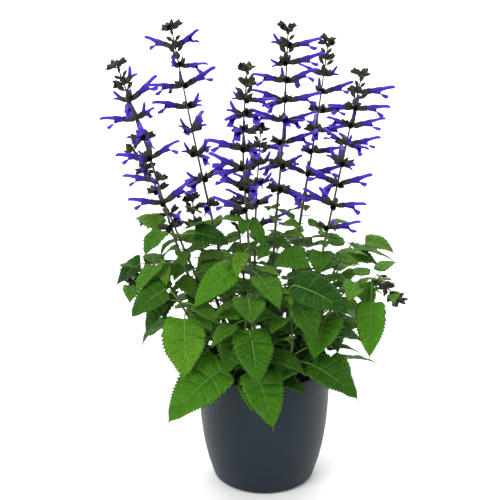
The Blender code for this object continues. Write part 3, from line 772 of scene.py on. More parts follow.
def finished_bloom(name, work, thickness, fine=0):
    """A flower, bud or calyx as an object of the store that the whorls are made from."""
    work.bm.normal_update()
    bmesh.ops.recalc_face_normals(work.bm, faces=work.bm.faces)
    mesh = bpy.data.meshes.new(name)
    work.bm.to_mesh(mesh)
    work.bm.free()
    bloom = bpy.data.objects.new(name, mesh)
    store.objects.link(bloom)
    if thickness:
        shell = bloom.modifiers.new("thickness", "SOLIDIFY")
        shell.thickness = thickness
        shell.offset = -1.0
    if fine:
        finer = bloom.modifiers.new("finer", "SUBSURF")
        finer.levels = finer.render_levels = fine
    return bloom


store = bpy.data.collections.new("bloom_store")
bpy.context.scene.collection.children.link(store)


def open_flower(name, hood_rise, lip_drop, twist):
    """An open flower: its calyx, its tube and throat, and its two lips."""
    length = 0.046
    line = bent_line(length, 26)
    work = Petalwork()
    calyx_parts(work, line, length, OPEN_CALYX, 0.0046, 0.0003)
    tube = tube_rings(line, length, FLOWER_TUBE)
    throat = work.tube(tube, 1, even_shares(tube, 0.15, 0.50))[-1]
    half = AROUND // 2
    # The hood goes on from the upper half of the throat.
    previous = throat[: half + 1]
    for share, wide, high, rise in (
        (0.10, 0.0042, 0.0048, 0.0006),
        (0.28, 0.0033, 0.0044, 0.0012),
        (0.50, 0.0029, 0.0040, 0.0020),
        (0.74, 0.0030, 0.0042, 0.0026),
        (0.92, 0.0027, 0.0034, 0.0026),
        (1.00, 0.0012, 0.0014, 0.0022),
    ):
        point, forward, up = on_line(line, length, THROAT + share * HOOD_LENGTH)
        point = point + up * (rise + hood_rise * share)
        angles = [math.pi * i / half for i in range(half + 1)]
        row = [point + Vector((0, wide * math.cos(a), 0)) + up * high * (math.sin(a) - 0.15) for a in angles]
        following = work.row(row, 0.55 + 0.45 * share)
        work.skin(previous, following, 1, closed=False)
        previous = following
    # The lower lip spreads from the lower half and hangs.
    previous = throat[half:] + throat[:1]
    point, forward, up = on_line(line, length, THROAT)
    place = point - up * 0.0050
    pitch = math.radians(-18)
    for share, wide, cup, notch in (
        (0.16, 0.0047, 0.0040, 0.0),
        (0.34, 0.0048, 0.0052, 0.0),
        (0.55, 0.0052, 0.0064, 0.0),
        (0.76, 0.0055, 0.0070, 0.0004),
        (0.92, 0.0048, 0.0062, 0.0016),
        (1.00, 0.0030, 0.0040, 0.0022),
    ):
        pitch += math.radians(lip_drop) / 6
        heading = forward * math.cos(-pitch) - up * math.sin(pitch)
        place = place + heading * LIP_LENGTH / 6
        below = Vector((0, 1, 0)).cross(heading)
        row = []
        for i in range(half + 1):
            across = -math.cos(math.pi * i / half)
            dip = notch * (1 - abs(across)) - cup * across * across
            row.append(
                place
                + Vector((0, across * wide, 0))
                + below * (-dip * 0.6)
                - heading * notch * (1 - abs(across)) * 0.8
                + Vector((0, 0, twist * across * 0.0012 * share))
            )
        following = work.row(row, 0.5 + 0.5 * share)
        work.skin(previous, following, 1, closed=False)
        previous = following
    return finished_bloom(name, work, PETAL_THICKNESS, fine=1)


def opening_flower(name, spread):
    """A flower that is just opening: a narrow calyx with a forked violet beak."""
    length = 0.027
    line = bent_line(length, 14)
    work = Petalwork()
    calyx_parts(work, line, length, NARROW_CALYX, 0.0030, 0.0002)
    for side, rise, reach, thick in ((1, 0.30 + spread, 0.0150, 0.0024), (-1, -0.28, 0.0120, 0.0019)):
        base, forward, up = on_line(line, length, 0.0105)
        heading = (forward * math.cos(rise) + up * math.sin(rise)).normalized()
        above = Vector((0, 1, 0)).cross(heading) * -1
        angles = [math.tau * i / 8 for i in range(8)]
        rings, shares = [], []
        for share, swell, droop in (
            (0.0, 1.0, 0.0),
            (0.3, 1.15, 0.0001),
            (0.6, 0.95, 0.0004),
            (0.85, 0.85, 0.0010),
            (1.0, 0.25, 0.0014),
        ):
            centre = base + heading * reach * share + above * side * droop
            wide = thick * swell
            shares.append(0.4 + 0.6 * share)
            around = [Vector((0, math.cos(a), 0)) * wide + above * math.sin(a) * wide for a in angles]
            rings.append([centre + out for out in around])
        work.close(work.tube(rings, 1, shares), 1)
    return finished_bloom(name, work, 0.0, fine=1)


def closed_bud(name, length, bend, wide):
    """A closed bud or small bract: a pointed, keeled spindle on a short stalk."""
    stalk = [(0.0, 0.0006, 0.0006), (0.14 * length, 0.0007, 0.0007)]
    spindle = (
        (0.26, 0.62, 0.58),
        (0.44, 1.0, 0.9),
        (0.62, 0.92, 0.86),
        (0.80, 0.52, 0.52),
        (0.93, 0.20, 0.22),
        (1.0, 0.05, 0.05),
    )
    sized = stalk + [(share * length, across * wide, high * wide) for share, across, high in spindle]
    rings = tube_rings(bent_line(length, bend), length, sized, 8)
    for ring in rings[2:7]:
        middle = sum(ring, Vector()) / 8
        ring[2] = middle + (ring[2] - middle) * BUD_KEEL
    work = Petalwork()
    work.close(work.tube(rings, 0, even_shares(rings)), 0)
    return finished_bloom(name, work, 0.0)


def spent_calyx(name, flare, teeth):
    """A calyx whose flower has dropped: an open bell."""
    length = 0.014
    line = bent_line(length, 16)
    work = Petalwork()
    calyx_parts(work, line, length, SPENT_CALYX, teeth, flare, around=10)
    return finished_bloom(name, work, CALYX_THICKNESS)


BLOOMS = [
    open_flower("bloom_00_open", 0.0010, 78, 0.5),
    open_flower("bloom_01_open", 0.0030, 62, -0.8),
    open_flower("bloom_02_open", -0.0008, 92, 1.0),
    opening_flower("bloom_03_opening", 0.10),
    opening_flower("bloom_04_opening", 0.26),
    closed_bud("bloom_05_bud", 0.0140, -12, 0.0033),
    closed_bud("bloom_06_bud", 0.0150, 8, 0.0028),
    spent_calyx("bloom_07_calyx", 0.0008, 0.0046),
    spent_calyx("bloom_08_calyx", 0.0001, 0.0034),
]
# Which of the blooms are of each kind, how long each kind is, and how many corners it has in the CAD model.
KINDS = {"open": (0, 1, 2), "opening": (3, 4), "bud": (5, 6), "calyx": (7, 8)}
REACH = {"open": 0.0440, "opening": 0.0258, "bud": 0.0138, "calyx": 0.0140}
KIND_OF = {28: "open", 16: "opening", 8: "bud", 12: "calyx"}

ROLL = 14
WHORL_STEP = 0.0045
WHORL_ROOM = 0.008
BLOOMING_SHARE = 0.82
CROWDED = 0.75
YOUNG_GAP_GROWTH = 1.12
AWRY = Vector((0.3, 0.9, 0.1))

whorling, given, sizes = new_recipe("Whorled Flowers", {"Overall Size": 1.0})
one_by_one = {"Collection": store, "Separate Children": True, "Reset Children": True}
flowers = grown(whorling, "CollectionInfo", one_by_one)
placed = grown(
    whorling,
    "InstanceOnPoints",
    {
        "Points": grown(whorling, "MeshToPoints", {"Mesh": given}),
        "Instance": flowers,
        "Pick Instance": True,
        "Instance Index": kept_value(whorling, "kind", "INT"),
        "Rotation": kept_value(whorling, "turn", "QUATERNION"),
        "Scale": Figure(whorling, kept_value(whorling, "swell")) * sizes["Overall Size"],
    },
)
real = grown(whorling, "RealizeInstances", {"Geometry": placed})
soft = grown(whorling, "SetShadeSmooth", {"Geometry": real})
is_petal = Figure(whorling, kept_value(whorling, "petal", "INT")).work("GREATER_THAN", 0.5)
end_recipe(whorling, soft, (calyx_skin, None), (petal_skin, is_petal))


def facing(forward, axis):
    """The turn that points a flower forward, with its upper side towards the tip of its stem."""
    side = axis.cross(forward).normalized()
    return Matrix((forward, side, forward.cross(side))).transposed().to_quaternion()


def one_bloom(root, forward, axis, kind, size):
    return {"root": root, "forward": forward, "axis": axis, "kind": kind, "size": size}


def raised_way(way, axis, dice, least, most):
    """A way out from a stem, tipped up towards its end by an angle between these two."""
    pitch = math.radians(dice.uniform(least, most))
    return (way * math.cos(pitch) + axis * math.sin(pitch)).normalized()


def cad_flowers(stem):
    """The flowers of a CAD spike: each one's root, ways forward and along the stem, kind and size."""
    rachis = {vert for ring in stem["rings"] for vert in ring}
    left = set(stem["bm"].verts) - rachis
    centres = [centre for centre, _ in stem["centres"]]
    found = []
    while left:
        start = min(left, key=lambda vert: vert.index)
        group, front = {start}, [start]
        while front:
            front = list({edge.other_vert(v) for v in front for edge in v.link_edges} & left - group)
            group |= set(front)
        left -= group
        roots = {edge.other_vert(vert) for vert in group for edge in vert.link_edges} & rachis
        root = sum((vert.co for vert in roots), Vector()) / max(1, len(roots))
        first = {edge.other_vert(vert) for vert in roots for edge in vert.link_edges} & group
        forward = (sum((vert.co for vert in first), Vector()) / max(1, len(first)) - root).normalized()
        reach = sorted(((vert.co - root).length for vert in group), reverse=True)[:4]
        near = min(range(len(centres) - 1), key=lambda i: ((centres[i] + centres[i + 1]) / 2 - root).length)
        axis = (centres[near + 1] - centres[near]).normalized()
        kind = KIND_OF.get(len(group), "calyx")
        found.append(one_bloom(root, forward, axis, kind, sum(reach) / 4 / REACH[kind]))
    return found


def flower_points(flowers, dice):
    """A mesh of points that carries each flower's turn, kind and size for the whorls."""
    turns, kinds = [], []
    for flower in flowers:
        roll = Quaternion(flower["forward"], math.radians(dice.uniform(-ROLL, ROLL)))
        turns.append(roll @ facing(flower["forward"], flower["axis"]))
        kinds.append(dice.choice(KINDS[flower["kind"]]))
    roots, swells = ([flower[key] for flower in flowers] for key in ("root", "size"))
    return point_mesh(roots, in_line=False, turn=turns, kind=kinds, swell=swells)


def crowding(way, taken):
    """How nearly a way out points along one that is taken, 1 for the same way and 0 if none is near."""
    return max([way.dot(used) for used in taken] or [0.0])


def fillers(flowers, stem, dice, blooming):
    """What crowds each joint of a spike between its larger flowers: a flower or two, buds and calyces."""
    out = []
    centres = stem["centres"]
    steps = [(high - low).length for (low, _), (high, _) in zip(centres, centres[1:])]
    whorls = [i for i in range(1, len(steps)) if steps[i] < WHORL_STEP]
    for i in whorls:
        (low, half), (high, _) = centres[i], centres[i + 1]
        place, axis = (low + high) / 2, (high - low).normalized()
        side = axis.cross(AWRY).normalized()
        near = [flower for flower in flowers if (flower["root"] - place).length < WHORL_ROOM]
        taken = [flower["forward"] for flower in near if flower["kind"] != "bud"]
        ways = [Quaternion(axis, math.radians(15 * k)) @ side for k in range(24)]
        for _ in range(2 if blooming and i < whorls[-1] * BLOOMING_SHARE else 0):
            way = min(ways, key=lambda way: crowding(way, taken))
            if dice.random() < 0.3 or crowding(way, taken) > CROWDED:
                continue
            tip = place + way * REACH["open"]
            if not all(cad_bounds[0][k] < tip[k] < cad_bounds[1][k] for k in (0, 1)):
                continue
            taken.append(way)
            kind = "open" if dice.random() < 0.62 else "opening"
            size = dice.uniform(0.74, 0.95)
            forward = (way + axis * math.tan(math.radians(dice.uniform(4, 24)))).normalized()
            out.append(one_bloom(place + way * half, forward, axis, kind, size))
        for k in range(5):
            way = Quaternion(axis, math.radians(45 + 72 * k + dice.uniform(-24, 24))) @ side
            if dice.random() < 0.2:
                continue
            forward = raised_way(way, axis, dice, 14, 52)
            kind = "bud" if dice.random() < 0.6 else "calyx"
            out.append(one_bloom(place + way * half, forward, axis, kind, dice.uniform(0.75, 1.05)))
    return out + young_pairs(centres, dice)


def young_pairs(centres, dice):
    """The young top of a spike carries its buds in pairs, each pair across the one below it."""
    out = []
    line, halves = fine_stem(centres)
    passed, pair, gap = 0.0, 0, YOUNG_GAP
    for place in range(len(line) - 2, 0, -1):
        passed += (line[place + 1] - line[place]).length
        if passed < gap or pair == YOUNG_PAIRS:
            continue
        passed, gap = 0.0, gap * YOUNG_GAP_GROWTH
        axis = (line[place + 1] - line[place]).normalized()
        side = axis.cross(AWRY).normalized()
        for k in range(2):
            way = Quaternion(axis, math.radians(30 + 90 * pair + 180 * k + dice.uniform(-15, 15))) @ side
            forward = raised_way(way, axis, dice, 32, 52)
            size = min((0.55 + 0.12 * pair) * dice.uniform(0.9, 1.1), 1.1)
            out.append(one_bloom(line[place] + way * halves[place], forward, axis, "bud", size))
        pair += 1
    return out


def joined(*meshes):
    """Several meshes as one, each keeping its own materials."""
    made = [bpy.data.objects.new("part", mesh) for mesh in meshes]
    for obj in made:
        bpy.context.scene.collection.objects.link(obj)
    with bpy.context.temp_override(active_object=made[0], selected_editable_objects=made, object=made[0]):
        bpy.ops.object.join()
    mesh = made[0].data
    bpy.data.objects.remove(made[0])
    return mesh


def all_black(point):
    return 1.0


SPIKES = (
    ("flower_spike_", "flower", flower_stem_ripeness),
    ("bud_stem_", "dark_stem", all_black),
    ("shoot_", "stem", shoot_ripeness),
)
for number, name in enumerate(sorted(stems)):
    stem = stems[name]
    corners = len(stem["bm"].verts)
    if corners == 4 * len(stem["rings"]) or corners < PLAIN_CORNERS:
        continue
    slot, dark = next((slot, dark) for start, slot, dark in SPIKES if name.startswith(start))
    dice = random.Random(40 + number)
    flowers = cad_flowers(stem)
    flowers += fillers(flowers, stem, dice, slot == "flower")
    rachis = made_by(squaring, stem_line(stem["centres"], stem["joints"], dark))
    blooms = made_by(whorling, flower_points(flowers, dice))
    fitted("whorled_" + name, joined(rachis, blooms), slot, name)
for stem in stems.values():
    stem["bm"].free()
for bloom in BLOOMS:
    bpy.data.objects.remove(bloom)
bpy.data.collections.remove(store)

# ------------------------------------------------------------------ the leaves
# Soft, thin sage leaves on slim stalks: heart-shaped at the base and drawn out to a point, with teeth that
# point forward all round. The sunken net of veins puckers the green upper side, and its lines are painted
# dark as shade in the creases. The underside is paler, with raised ribs.

VEIN_PAIRS = 7.0
BLADE_COLUMNS = 17
ROWS_PER_TOOTH = 3
SMALL_COLUMNS = 11
LEAST_TEETH = 10
EDGE_WELD = 0.00004
LOBE_END = 0.22
ROW_SWEEP = 0.13
TOOTH_HOOK = 0.45
TIP_TAPER = 0.62
EDGE_WAVES = 17.0
RIB_POINTS = 28
STALK_RINGS = 2
RIB_SIDES = 7
RIB_THINNING = 0.86
NET_SCALE = 330.0
TEETH_PER_METRE = 270
LEAF_DARK_AND_SHADED = (0.006, 0.044, 0.0015)
LEAF_BRIGHT = (0.076, 0.248, 0.008)
LEAF_YOUNG = (0.170, 0.330, 0.020)
LEAF_CREASE_SHADE = (0.005, 0.034, 0.002)
LEAF_RIB = (0.170, 0.330, 0.060)
LEAF_UNDER = (0.085, 0.180, 0.050)
LEAF_UNDER_RIB = (0.180, 0.280, 0.105)
LEAF_STALK = (0.130, 0.230, 0.050)

blade_skin, tree, shader = new_finish("blade_skin", LEAF_BRIGHT, 0.48)
across, along, under = worn(tree, "across"), worn(tree, "along"), worn(tree, "under")
tone, young = worn(tree, "tone"), worn(tree, "young")
wander = noise_of(tree, 90.0, 2.0) * 0.05
edge_way = across.size()
midrib = across.near_zero(0.05)
pairs = ((along * VEIN_PAIRS + wander).loose_part() - 0.5).near_zero(0.13) * (1.0 - edge_way**3.0)
fork_place = along * VEIN_PAIRS * 4.0 + wander * 4.0 + edge_way * 1.3
forks = (fork_place.loose_part() - 0.5).near_zero(0.22) * 0.45
place = step(tree, "ShaderNodeTexCoord").outputs["Object"]
cells = step(tree, "ShaderNodeTexVoronoi", {"Vector": place, "Scale": NET_SCALE}, feature="DISTANCE_TO_EDGE")
net = Figure(tree, cells.outputs["Distance"]).near_zero(0.22) * 0.65
veining = midrib.most(pairs).most(forks).most(net)
mottle = noise_of(tree, 55.0, 3.0)
# The dark green is partly the leaves' own darker tone and partly painted shade.
green = blended(tree, (tone * 0.62 + 0.5 + mottle * 0.22).as_share(), LEAF_DARK_AND_SHADED, LEAF_BRIGHT)
green = blended(tree, (young * (0.35 + along * 0.6)).as_share(), green, LEAF_YOUNG)
# Painted shade: the lines of the sunken vein net are darkened as if shaded in their creases.
green = blended(tree, net * 0.85, green, LEAF_CREASE_SHADE)
green = blended(tree, pairs.most(midrib) * 0.30 + midrib * 0.15, green, LEAF_RIB)
silver = blended(tree, veining * 0.55, LEAF_UNDER, LEAF_UNDER_RIB)
green = blended(tree, (under * 0.75).as_share(), green, silver)
green = blended(tree, worn(tree, "stalky"), green, LEAF_STALK)
feed(tree, shader.inputs["Base Color"], green)
feed(tree, shader.inputs["Roughness"], mottle * 0.05 + 0.46 + veining * 0.1)
shader.inputs["Specular IOR Level"].default_value = 0.13
shader.inputs["Subsurface Weight"].default_value = 0.12
shader.inputs["Subsurface Radius"].default_value = (0.35, 1.0, 0.12)
shader.inputs["Subsurface Scale"].default_value = 0.0025
raised(tree, shader, (1.0 - veining) * (1.0 - under * 2.0), 0.0014, 1.0)

blading, given, sizes = new_recipe(
    "Sage Leaf",
    {
        "Stalk Share": 0.2,
        "Half Width": 0.025,
        "Teeth": 22,
        "Tooth Depth": 0.125,
        "Lobes": 0.13,
        "Columns": BLADE_COLUMNS,
        "Vein Pairs": VEIN_PAIRS,
        "Vein Depth": 0.0007,
        "Pucker": 0.0009,
        "Fold": 0.16,
        "Edge Wave": 0.05,
        "Wave Start": 0.0,
        "Thickness": 0.0006,
        "Stalk Radius": 0.0009,
        "Tone": 0.0,
        "Young": 0.0,
    },
)
spine = grown(blading, "MeshToCurve", {"Mesh": given})
spine = grown(blading, "CurveSplineType", {"Curve": spine}, spline_type="CATMULL_ROM")
sheet = grown(
    blading,
    "MeshGrid",
    {
        "Size X": 2.0,
        "Size Y": 1.0,
        "Vertices X": sizes["Columns"],
        "Vertices Y": sizes["Teeth"] * ROWS_PER_TOOTH + 1.0,
    },
)
here = position_in(blading)
sheet = stored(blading, sheet, "across", here[0])
sheet = stored(blading, sheet, "along", here[1] + 0.5)
across = Figure(blading, kept_value(blading, "across"))
along = Figure(blading, kept_value(blading, "along"))
edge_way = across.size()
# The rows run forward to the edge as the veins do, and the first ones back round the lobes of the base.
lobe = ((along / LOBE_END).least(1.0) * math.pi).sine() * sizes["Lobes"]
margin = along + (along * math.pi).sine() * ROW_SWEEP - lobe
tooth_place = (along * sizes["Teeth"]).loose_part()
tooth = (tooth_place * 1.5).least((1.0 - tooth_place) * 3.0)
tooth = tooth * (along * 9.0).least(1.0) * ((1.0 - along) * 7.0).least(1.0) * edge_way**7.0
reach = along + (margin - along) * edge_way**1.4 + tooth / sizes["Teeth"] * TOOTH_HOOK
swelling = (along**0.50 * math.pi).sine().most(0.0) ** 1.08
half = sizes["Half Width"] * swelling * (1.0 - along**1.8 * TIP_TAPER)
outward = across * half * (1.0 + tooth * sizes["Tooth Depth"])
vein_place = (along * sizes["Vein Pairs"]).loose_part() - 0.5
sunk = vein_place.near_zero(0.3) * (1.0 - edge_way**4.0) * sizes["Vein Depth"]
pucker = (vein_place * math.tau * 0.5).sine() ** 2.0 * sizes["Pucker"]
pucker = pucker * (edge_way * (1.0 - edge_way) * 4.0) ** 0.5
full = (half / sizes["Half Width"]).least(1.0)
wave = (along * EDGE_WAVES + sizes["Wave Start"] + across * 2.2).sine()
wave = wave * edge_way**3.0 * sizes["Edge Wave"] * half
fold = edge_way**1.25 * half * sizes["Fold"]
rise = fold + wave + (pucker - sunk) * full - across.near_zero(0.10) * full * sizes["Vein Depth"]
thick = sizes["Thickness"] * 0.5 * (1.0 - edge_way**6.0) * (along * 30.0).least(1.0)
share = sizes["Stalk Share"] + (1.0 - sizes["Stalk Share"]) * reach


def on_spine(name):
    """What the leaf's spine says about a vector at each point of the blade."""
    return step(
        blading,
        "GeometryNodeSampleCurve",
        {"Curves": spine, "Value": kept_value(blading, name, "FLOAT_VECTOR"), "Factor": share},
        data_type="FLOAT_VECTOR",
        mode="FACTOR",
    )


def along_vector(vector, distance):
    return step(blading, "ShaderNodeVectorMath", {0: vector, "Scale": distance}, operation="SCALE").outputs[0]


def together(first, second):
    return step(blading, "ShaderNodeVectorMath", {0: first, 1: second}, operation="ADD").outputs[0]


side, up = on_spine("side"), on_spine("up")
sideways = together(side.outputs["Position"], along_vector(side.outputs["Value"], outward))
faces = []
for lift, low in ((rise + thick, 0.0), (rise - thick, 1.0)):
    spot = together(sideways, along_vector(up.outputs["Value"], lift))
    face = grown(blading, "SetPosition", {"Geometry": sheet, "Position": spot})
    face = stored(blading, face, "under", low)
    if low:
        face = grown(blading, "FlipFaces", {"Mesh": face})
    faces.append(face)
blade = in_one(blading, *faces)
blade = grown(blading, "MergeByDistance", {"Geometry": blade, "Distance": EDGE_WELD})
blade = stored(blading, blade, "stalky", 0.0)
# The stalk runs on under the blade as its rib and thins out towards the tip.
rib = grown(blading, "ResampleCurve", {"Curve": spine, "Count": RIB_POINTS})
gone = Figure(blading, grown(blading, "SplineParameter"))
slim = sizes["Stalk Radius"] * (1.0 - gone * RIB_THINNING)
below = ((gone - sizes["Stalk Share"]).most(0.0) * 20.0).least(1.0) * sizes["Thickness"] * -0.9
dropped = along_vector(kept_value(blading, "up", "FLOAT_VECTOR"), below)
rib = grown(blading, "SetPosition", {"Geometry": rib, "Offset": dropped})
rib = stored(blading, rib, "slim", slim)
ring = grown(blading, "CurvePrimitiveCircle", {"Resolution": RIB_SIDES, "Radius": 1.0})
stalk = grown(
    blading,
    "CurveToMesh",
    {"Curve": rib, "Profile Curve": ring, "Scale": kept_value(blading, "slim"), "Fill Caps": True},
)
stalk = stored(blading, stalk, "stalky", 1.0)
leaf = stored(blading, in_one(blading, blade, stalk), "tone", sizes["Tone"])
leaf = stored(blading, leaf, "young", sizes["Young"])
leaf = grown(blading, "SetShadeSmooth", {"Geometry": leaf})
end_recipe(blading, leaf, (blade_skin, None))


def cad_spine(rings):
    """A CAD leaf's spine points, its directions across and up, and its lengths and half width."""
    places, aheads, ups, halves = [], [], [], []
    middles = [sum(ring, Vector()) / 6 for ring in rings]
    for i, ring in enumerate(rings):
        aheads.append((middles[min(i + 1, len(rings) - 1)] - middles[max(i - 1, 0)]).normalized())
        if i < STALK_RINGS:
            places.append(middles[i])
            continue
        ends = max(((a, b) for a in ring for b in ring), key=lambda pair: (pair[0] - pair[1]).length)
        side = (ends[1] - ends[0]).normalized()
        middle = (ends[0] + ends[1]) / 2
        rest = [corner for corner in ring if corner not in ends]
        centred = sorted(rest, key=lambda corner: abs((corner - middle).dot(side)))[:2]
        places.append((centred[0] + centred[1]) / 2)
        ups.append((middle - max(centred, key=lambda corner: (corner - middle).length)).normalized())
        halves.append((ends[1] - ends[0]).length / 2)
    ups = [up - ahead * up.dot(ahead) for up, ahead in zip(ups[:1] * STALK_RINGS + ups, aheads)]
    ups = [up.normalized() for up in ups]
    sides = [-up.cross(ahead).normalized() for up, ahead in zip(ups, aheads)]
    stalk_length = sum((b - a).length for a, b in zip(places[:3], places[1:3]))
    blade_length = sum((b - a).length for a, b in zip(places[2:], places[3:]))
    return places, sides, ups, stalk_length, blade_length, max(halves)


def grown_leaf(spine, dice, tone, young=0.0, fine=1.0):
    """The finished mesh of one leaf on its spine."""
    places, sides, ups, stalk_length, blade_length, half = spine
    teeth = max(LEAST_TEETH, round(blade_length * TEETH_PER_METRE * fine))
    return made_by(
        blading,
        point_mesh(places, side=sides, up=ups),
        {
            "Stalk Share": stalk_length / (stalk_length + blade_length),
            "Half Width": half,
            "Teeth": teeth,
            "Columns": BLADE_COLUMNS if fine == 1.0 else SMALL_COLUMNS,
            "Vein Depth": min(0.0013, half * 0.050),
            "Pucker": min(0.0022, half * 0.085),
            "Edge Wave": dice.uniform(0.04, 0.10),
            "Wave Start": dice.uniform(0.0, 6.28),
            "Stalk Radius": min(0.0012, max(0.0007, half * 0.055)),
            "Tone": tone,
            "Young": young,
        },
    )


# How far towards the yellow-green of a young leaf these leaves are.
YOUNG_LEAVES = {
    "leaf_left_large": 0.55,
    "leaf_right_back": 0.45,
    "leaf_front_upper_left": 0.15,
    "leaf_left_flat": 0.2,
}
for number, name in enumerate(cad_leaves):
    dice = random.Random(200 + number)
    mesh = grown_leaf(cad_spine(leaf_rows[name]), dice, dice.uniform(-0.7, 0.9), YOUNG_LEAVES.get(name, 0.0))
    fitted("sage_" + name, mesh, "leaf", name)

# ------------------------------------------------------------------ the smaller leaves
# Between the large leaves each stem and shoot carries opposite pairs of smaller ones, every pair across the
# one below it, wherever there is room. They are the same soft leaves, smaller and yellower towards the top.

JOINT_SPACING = 0.021
TOP_OF_FOLIAGE = 0.380
EDGE_ROOM = 0.004
SHEET_ROOM = 1.1
FIRST_GAP = 0.012
SMALL_BLADE = 0.062
TRIES = 14


def taken_space(corners, faces):
    """The space that a surface takes: its low and high corner, and its tree for tests of touching."""
    low, high = (Vector([pick(corner[i] for corner in corners) for i in range(3)]) for pick in (min, max))
    return low, high, BVHTree.FromPolygons(corners, faces)


standing = []
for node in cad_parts.values():
    corners = [vert.co.copy() for vert in node.data.vertices]
    standing.append(taken_space(corners, [tuple(face.vertices) for face in node.data.polygons]))


def arched_spine(foot, away, rise, droop, stalk, blade, half, lean=0.0):
    """The spine of a leaf that leaves its stem with this rise and bends down by an angle to its tip."""
    places, sides, ups = [foot.copy()], [], []
    reaches = [0.0, 0.5 * stalk] + [stalk + blade * i / 8 for i in range(9)]
    for start, end in zip(reaches, reaches[1:] + [reaches[-1] + 0.001]):
        pitch = rise - droop * ((start + end) / 2 / reaches[-1]) ** 1.1
        ahead = away * math.cos(pitch) + Vector((0, 0, 1)) * math.sin(pitch)
        level = Vector((0, 0, 1)).cross(away)
        up = Quaternion(ahead, lean) @ ahead.cross(level)
        ups.append(up)
        sides.append(ahead.cross(up))
        places.append(places[-1] + ahead * (end - start))
    return places[:-1], sides, ups, stalk, blade, half


def sheet_of(spine):
    """A coarse sheet in the place of a leaf's blade, a little wider than it."""
    places, sides, ups, _, _, half = spine
    corners, faces = [], []
    for i, place in enumerate(places[1:]):
        share = max(0.0, (i - 1) / 8)
        wide = half * SHEET_ROOM * math.sin(math.pi * min(1.0, share + 0.02) ** 0.6) ** 0.9 + 0.001
        side, lift = sides[i + 1] * wide, ups[i + 1] * wide * 0.12
        corners += [place - side + lift, place, place + side + lift]
    for i in range(len(places) - 2):
        for j in (0, 1):
            a = 3 * i + j
            faces.append((a, a + 1, a + 4, a + 3))
    return corners, faces


def free_place(spine):
    """Whether a leaf would hang clear of everything and inside the plant's own space. If so, it is kept."""
    low, high, tree = taken_space(*sheet_of(spine))
    if any(low[i] < cad_bounds[0][i] + EDGE_ROOM or high[i] > cad_bounds[1][i] - EDGE_ROOM for i in range(3)):
        return False
    for other_low, other_high, other in standing:
        if all(low[i] < other_high[i] and high[i] > other_low[i] for i in range(3)) and tree.overlap(other):
            return False
    standing.append((low, high, tree))
    return True


def aimed_spine(base, tip, half):
    """The spine of a leaf whose blade runs from one place to another, on a stalk from the nearest stem."""
    foot = min(stem_places, key=lambda place: (place - base).length)
    blade = (tip - base).length
    outward = Vector((base.x, base.y, 0)).normalized()
    arch = Vector((0, 0, 0.32 * blade))
    places = [foot, foot.lerp(base, 0.5) + Vector((0, 0, 0.004))]
    places += [base.lerp(tip, i / 8) + arch * (i / 8) * (1 - i / 8) for i in range(9)]
    sides, ups = [], []
    for i in range(len(places)):
        ahead = (places[min(i + 1, 10)] - places[max(i - 1, 0)]).normalized()
        up = outward * 0.7 + Vector((0, -0.3, 1.0))
        up = (up - ahead * up.dot(ahead)).normalized()
        ups.append(up)
        sides.append(ahead.cross(up))
    return places, sides, ups, (base - foot).length, blade, half


def small_spine(place, half_stem, axis, turn, level, attempt, dice):
    """One try at a small leaf's spine. Each further try is a little smaller and strays further round."""
    size = (1.0 - 0.42 * level) * dice.uniform(0.78, 1.15) * (1.0 - 0.045 * attempt)
    across = axis.cross(Vector((0.2, 1.0, 0.1))).normalized()
    way = Quaternion(axis, math.radians(turn + dice.uniform(-22, 22) * (1 + attempt * 0.5))) @ across
    away = Vector((way.x, way.y, 0.0)).normalized()
    blade = SMALL_BLADE * size
    rise = math.radians(dice.uniform(5, 50))
    droop = math.radians(dice.uniform(35, 105))
    stalk = blade * dice.uniform(0.22, 0.6)
    half = blade * dice.uniform(0.27, 0.34)
    lean = math.radians(dice.uniform(-28, 28))
    return arched_spine(place + way * half_stem * 0.8, away, rise, droop, stalk, blade, half, lean)


def leaves_of(name, dice):
    """The small leaves of one stem or shoot, in opposite pairs at its joints, where one of the tries fits."""
    line, halves = fine_stem(stems[name]["centres"])
    fresh = 0.25 if name.startswith("shoot_") else 0.0
    meshes, passed, gap, pair = [], 0.0, FIRST_GAP, 0
    for i in range(1, len(line) - 1):
        passed += (line[i] - line[i - 1]).length
        level = (line[i].z - soil_top) / (TOP_OF_FOLIAGE - soil_top)
        if passed < gap or level > 1.0:
            continue
        passed, gap, pair = 0.0, JOINT_SPACING * dice.uniform(0.75, 1.2), pair + 1
        axis = (line[i + 1] - line[i]).normalized()
        for k in range(2):
            for attempt in range(TRIES):
                spine = small_spine(line[i], halves[i], axis, 90 * pair + 180 * k, level, attempt, dice)
                if free_place(spine):
                    young = max(0.0, level * 1.6 - 0.75) * dice.uniform(0.3, 1.1) + fresh * level
                    meshes.append(grown_leaf(spine, dice, dice.uniform(-1.0, 0.8), young, 0.8))
                    break
    return meshes


# Leaves that stand out at the plant's edge: where each blade starts and ends, its half width, and its youth.
OUTER_LEAVES = [
    ((-0.124, 0.000, 0.368), (-0.101, 0.030, 0.385), 0.014, 0.6),
    ((-0.139, -0.060, 0.336), (-0.168, -0.095, 0.305), 0.015, 0.1),
    ((-0.020, -0.105, 0.282), (0.017, -0.118, 0.286), 0.011, 0.2),
    ((-0.035, -0.100, 0.285), (-0.070, -0.112, 0.282), 0.012, 0.3),
    ((-0.088, 0.030, 0.306), (-0.052, 0.045, 0.300), 0.013, 0.0),
    ((0.118, -0.020, 0.287), (0.146, -0.030, 0.258), 0.012, 0.3),
    ((0.099, 0.000, 0.323), (0.131, 0.010, 0.308), 0.012, 0.5),
    ((0.062, -0.020, 0.352), (0.092, -0.040, 0.356), 0.009, 1.0),
    ((0.048, 0.010, 0.366), (0.022, -0.010, 0.372), 0.009, 1.0),
    ((0.088, 0.030, 0.362), (0.118, 0.030, 0.362), 0.009, 1.0),
    ((-0.118, -0.020, 0.300), (-0.150, -0.050, 0.262), 0.016, 0.4),
]
dice = random.Random(500)
outer = []
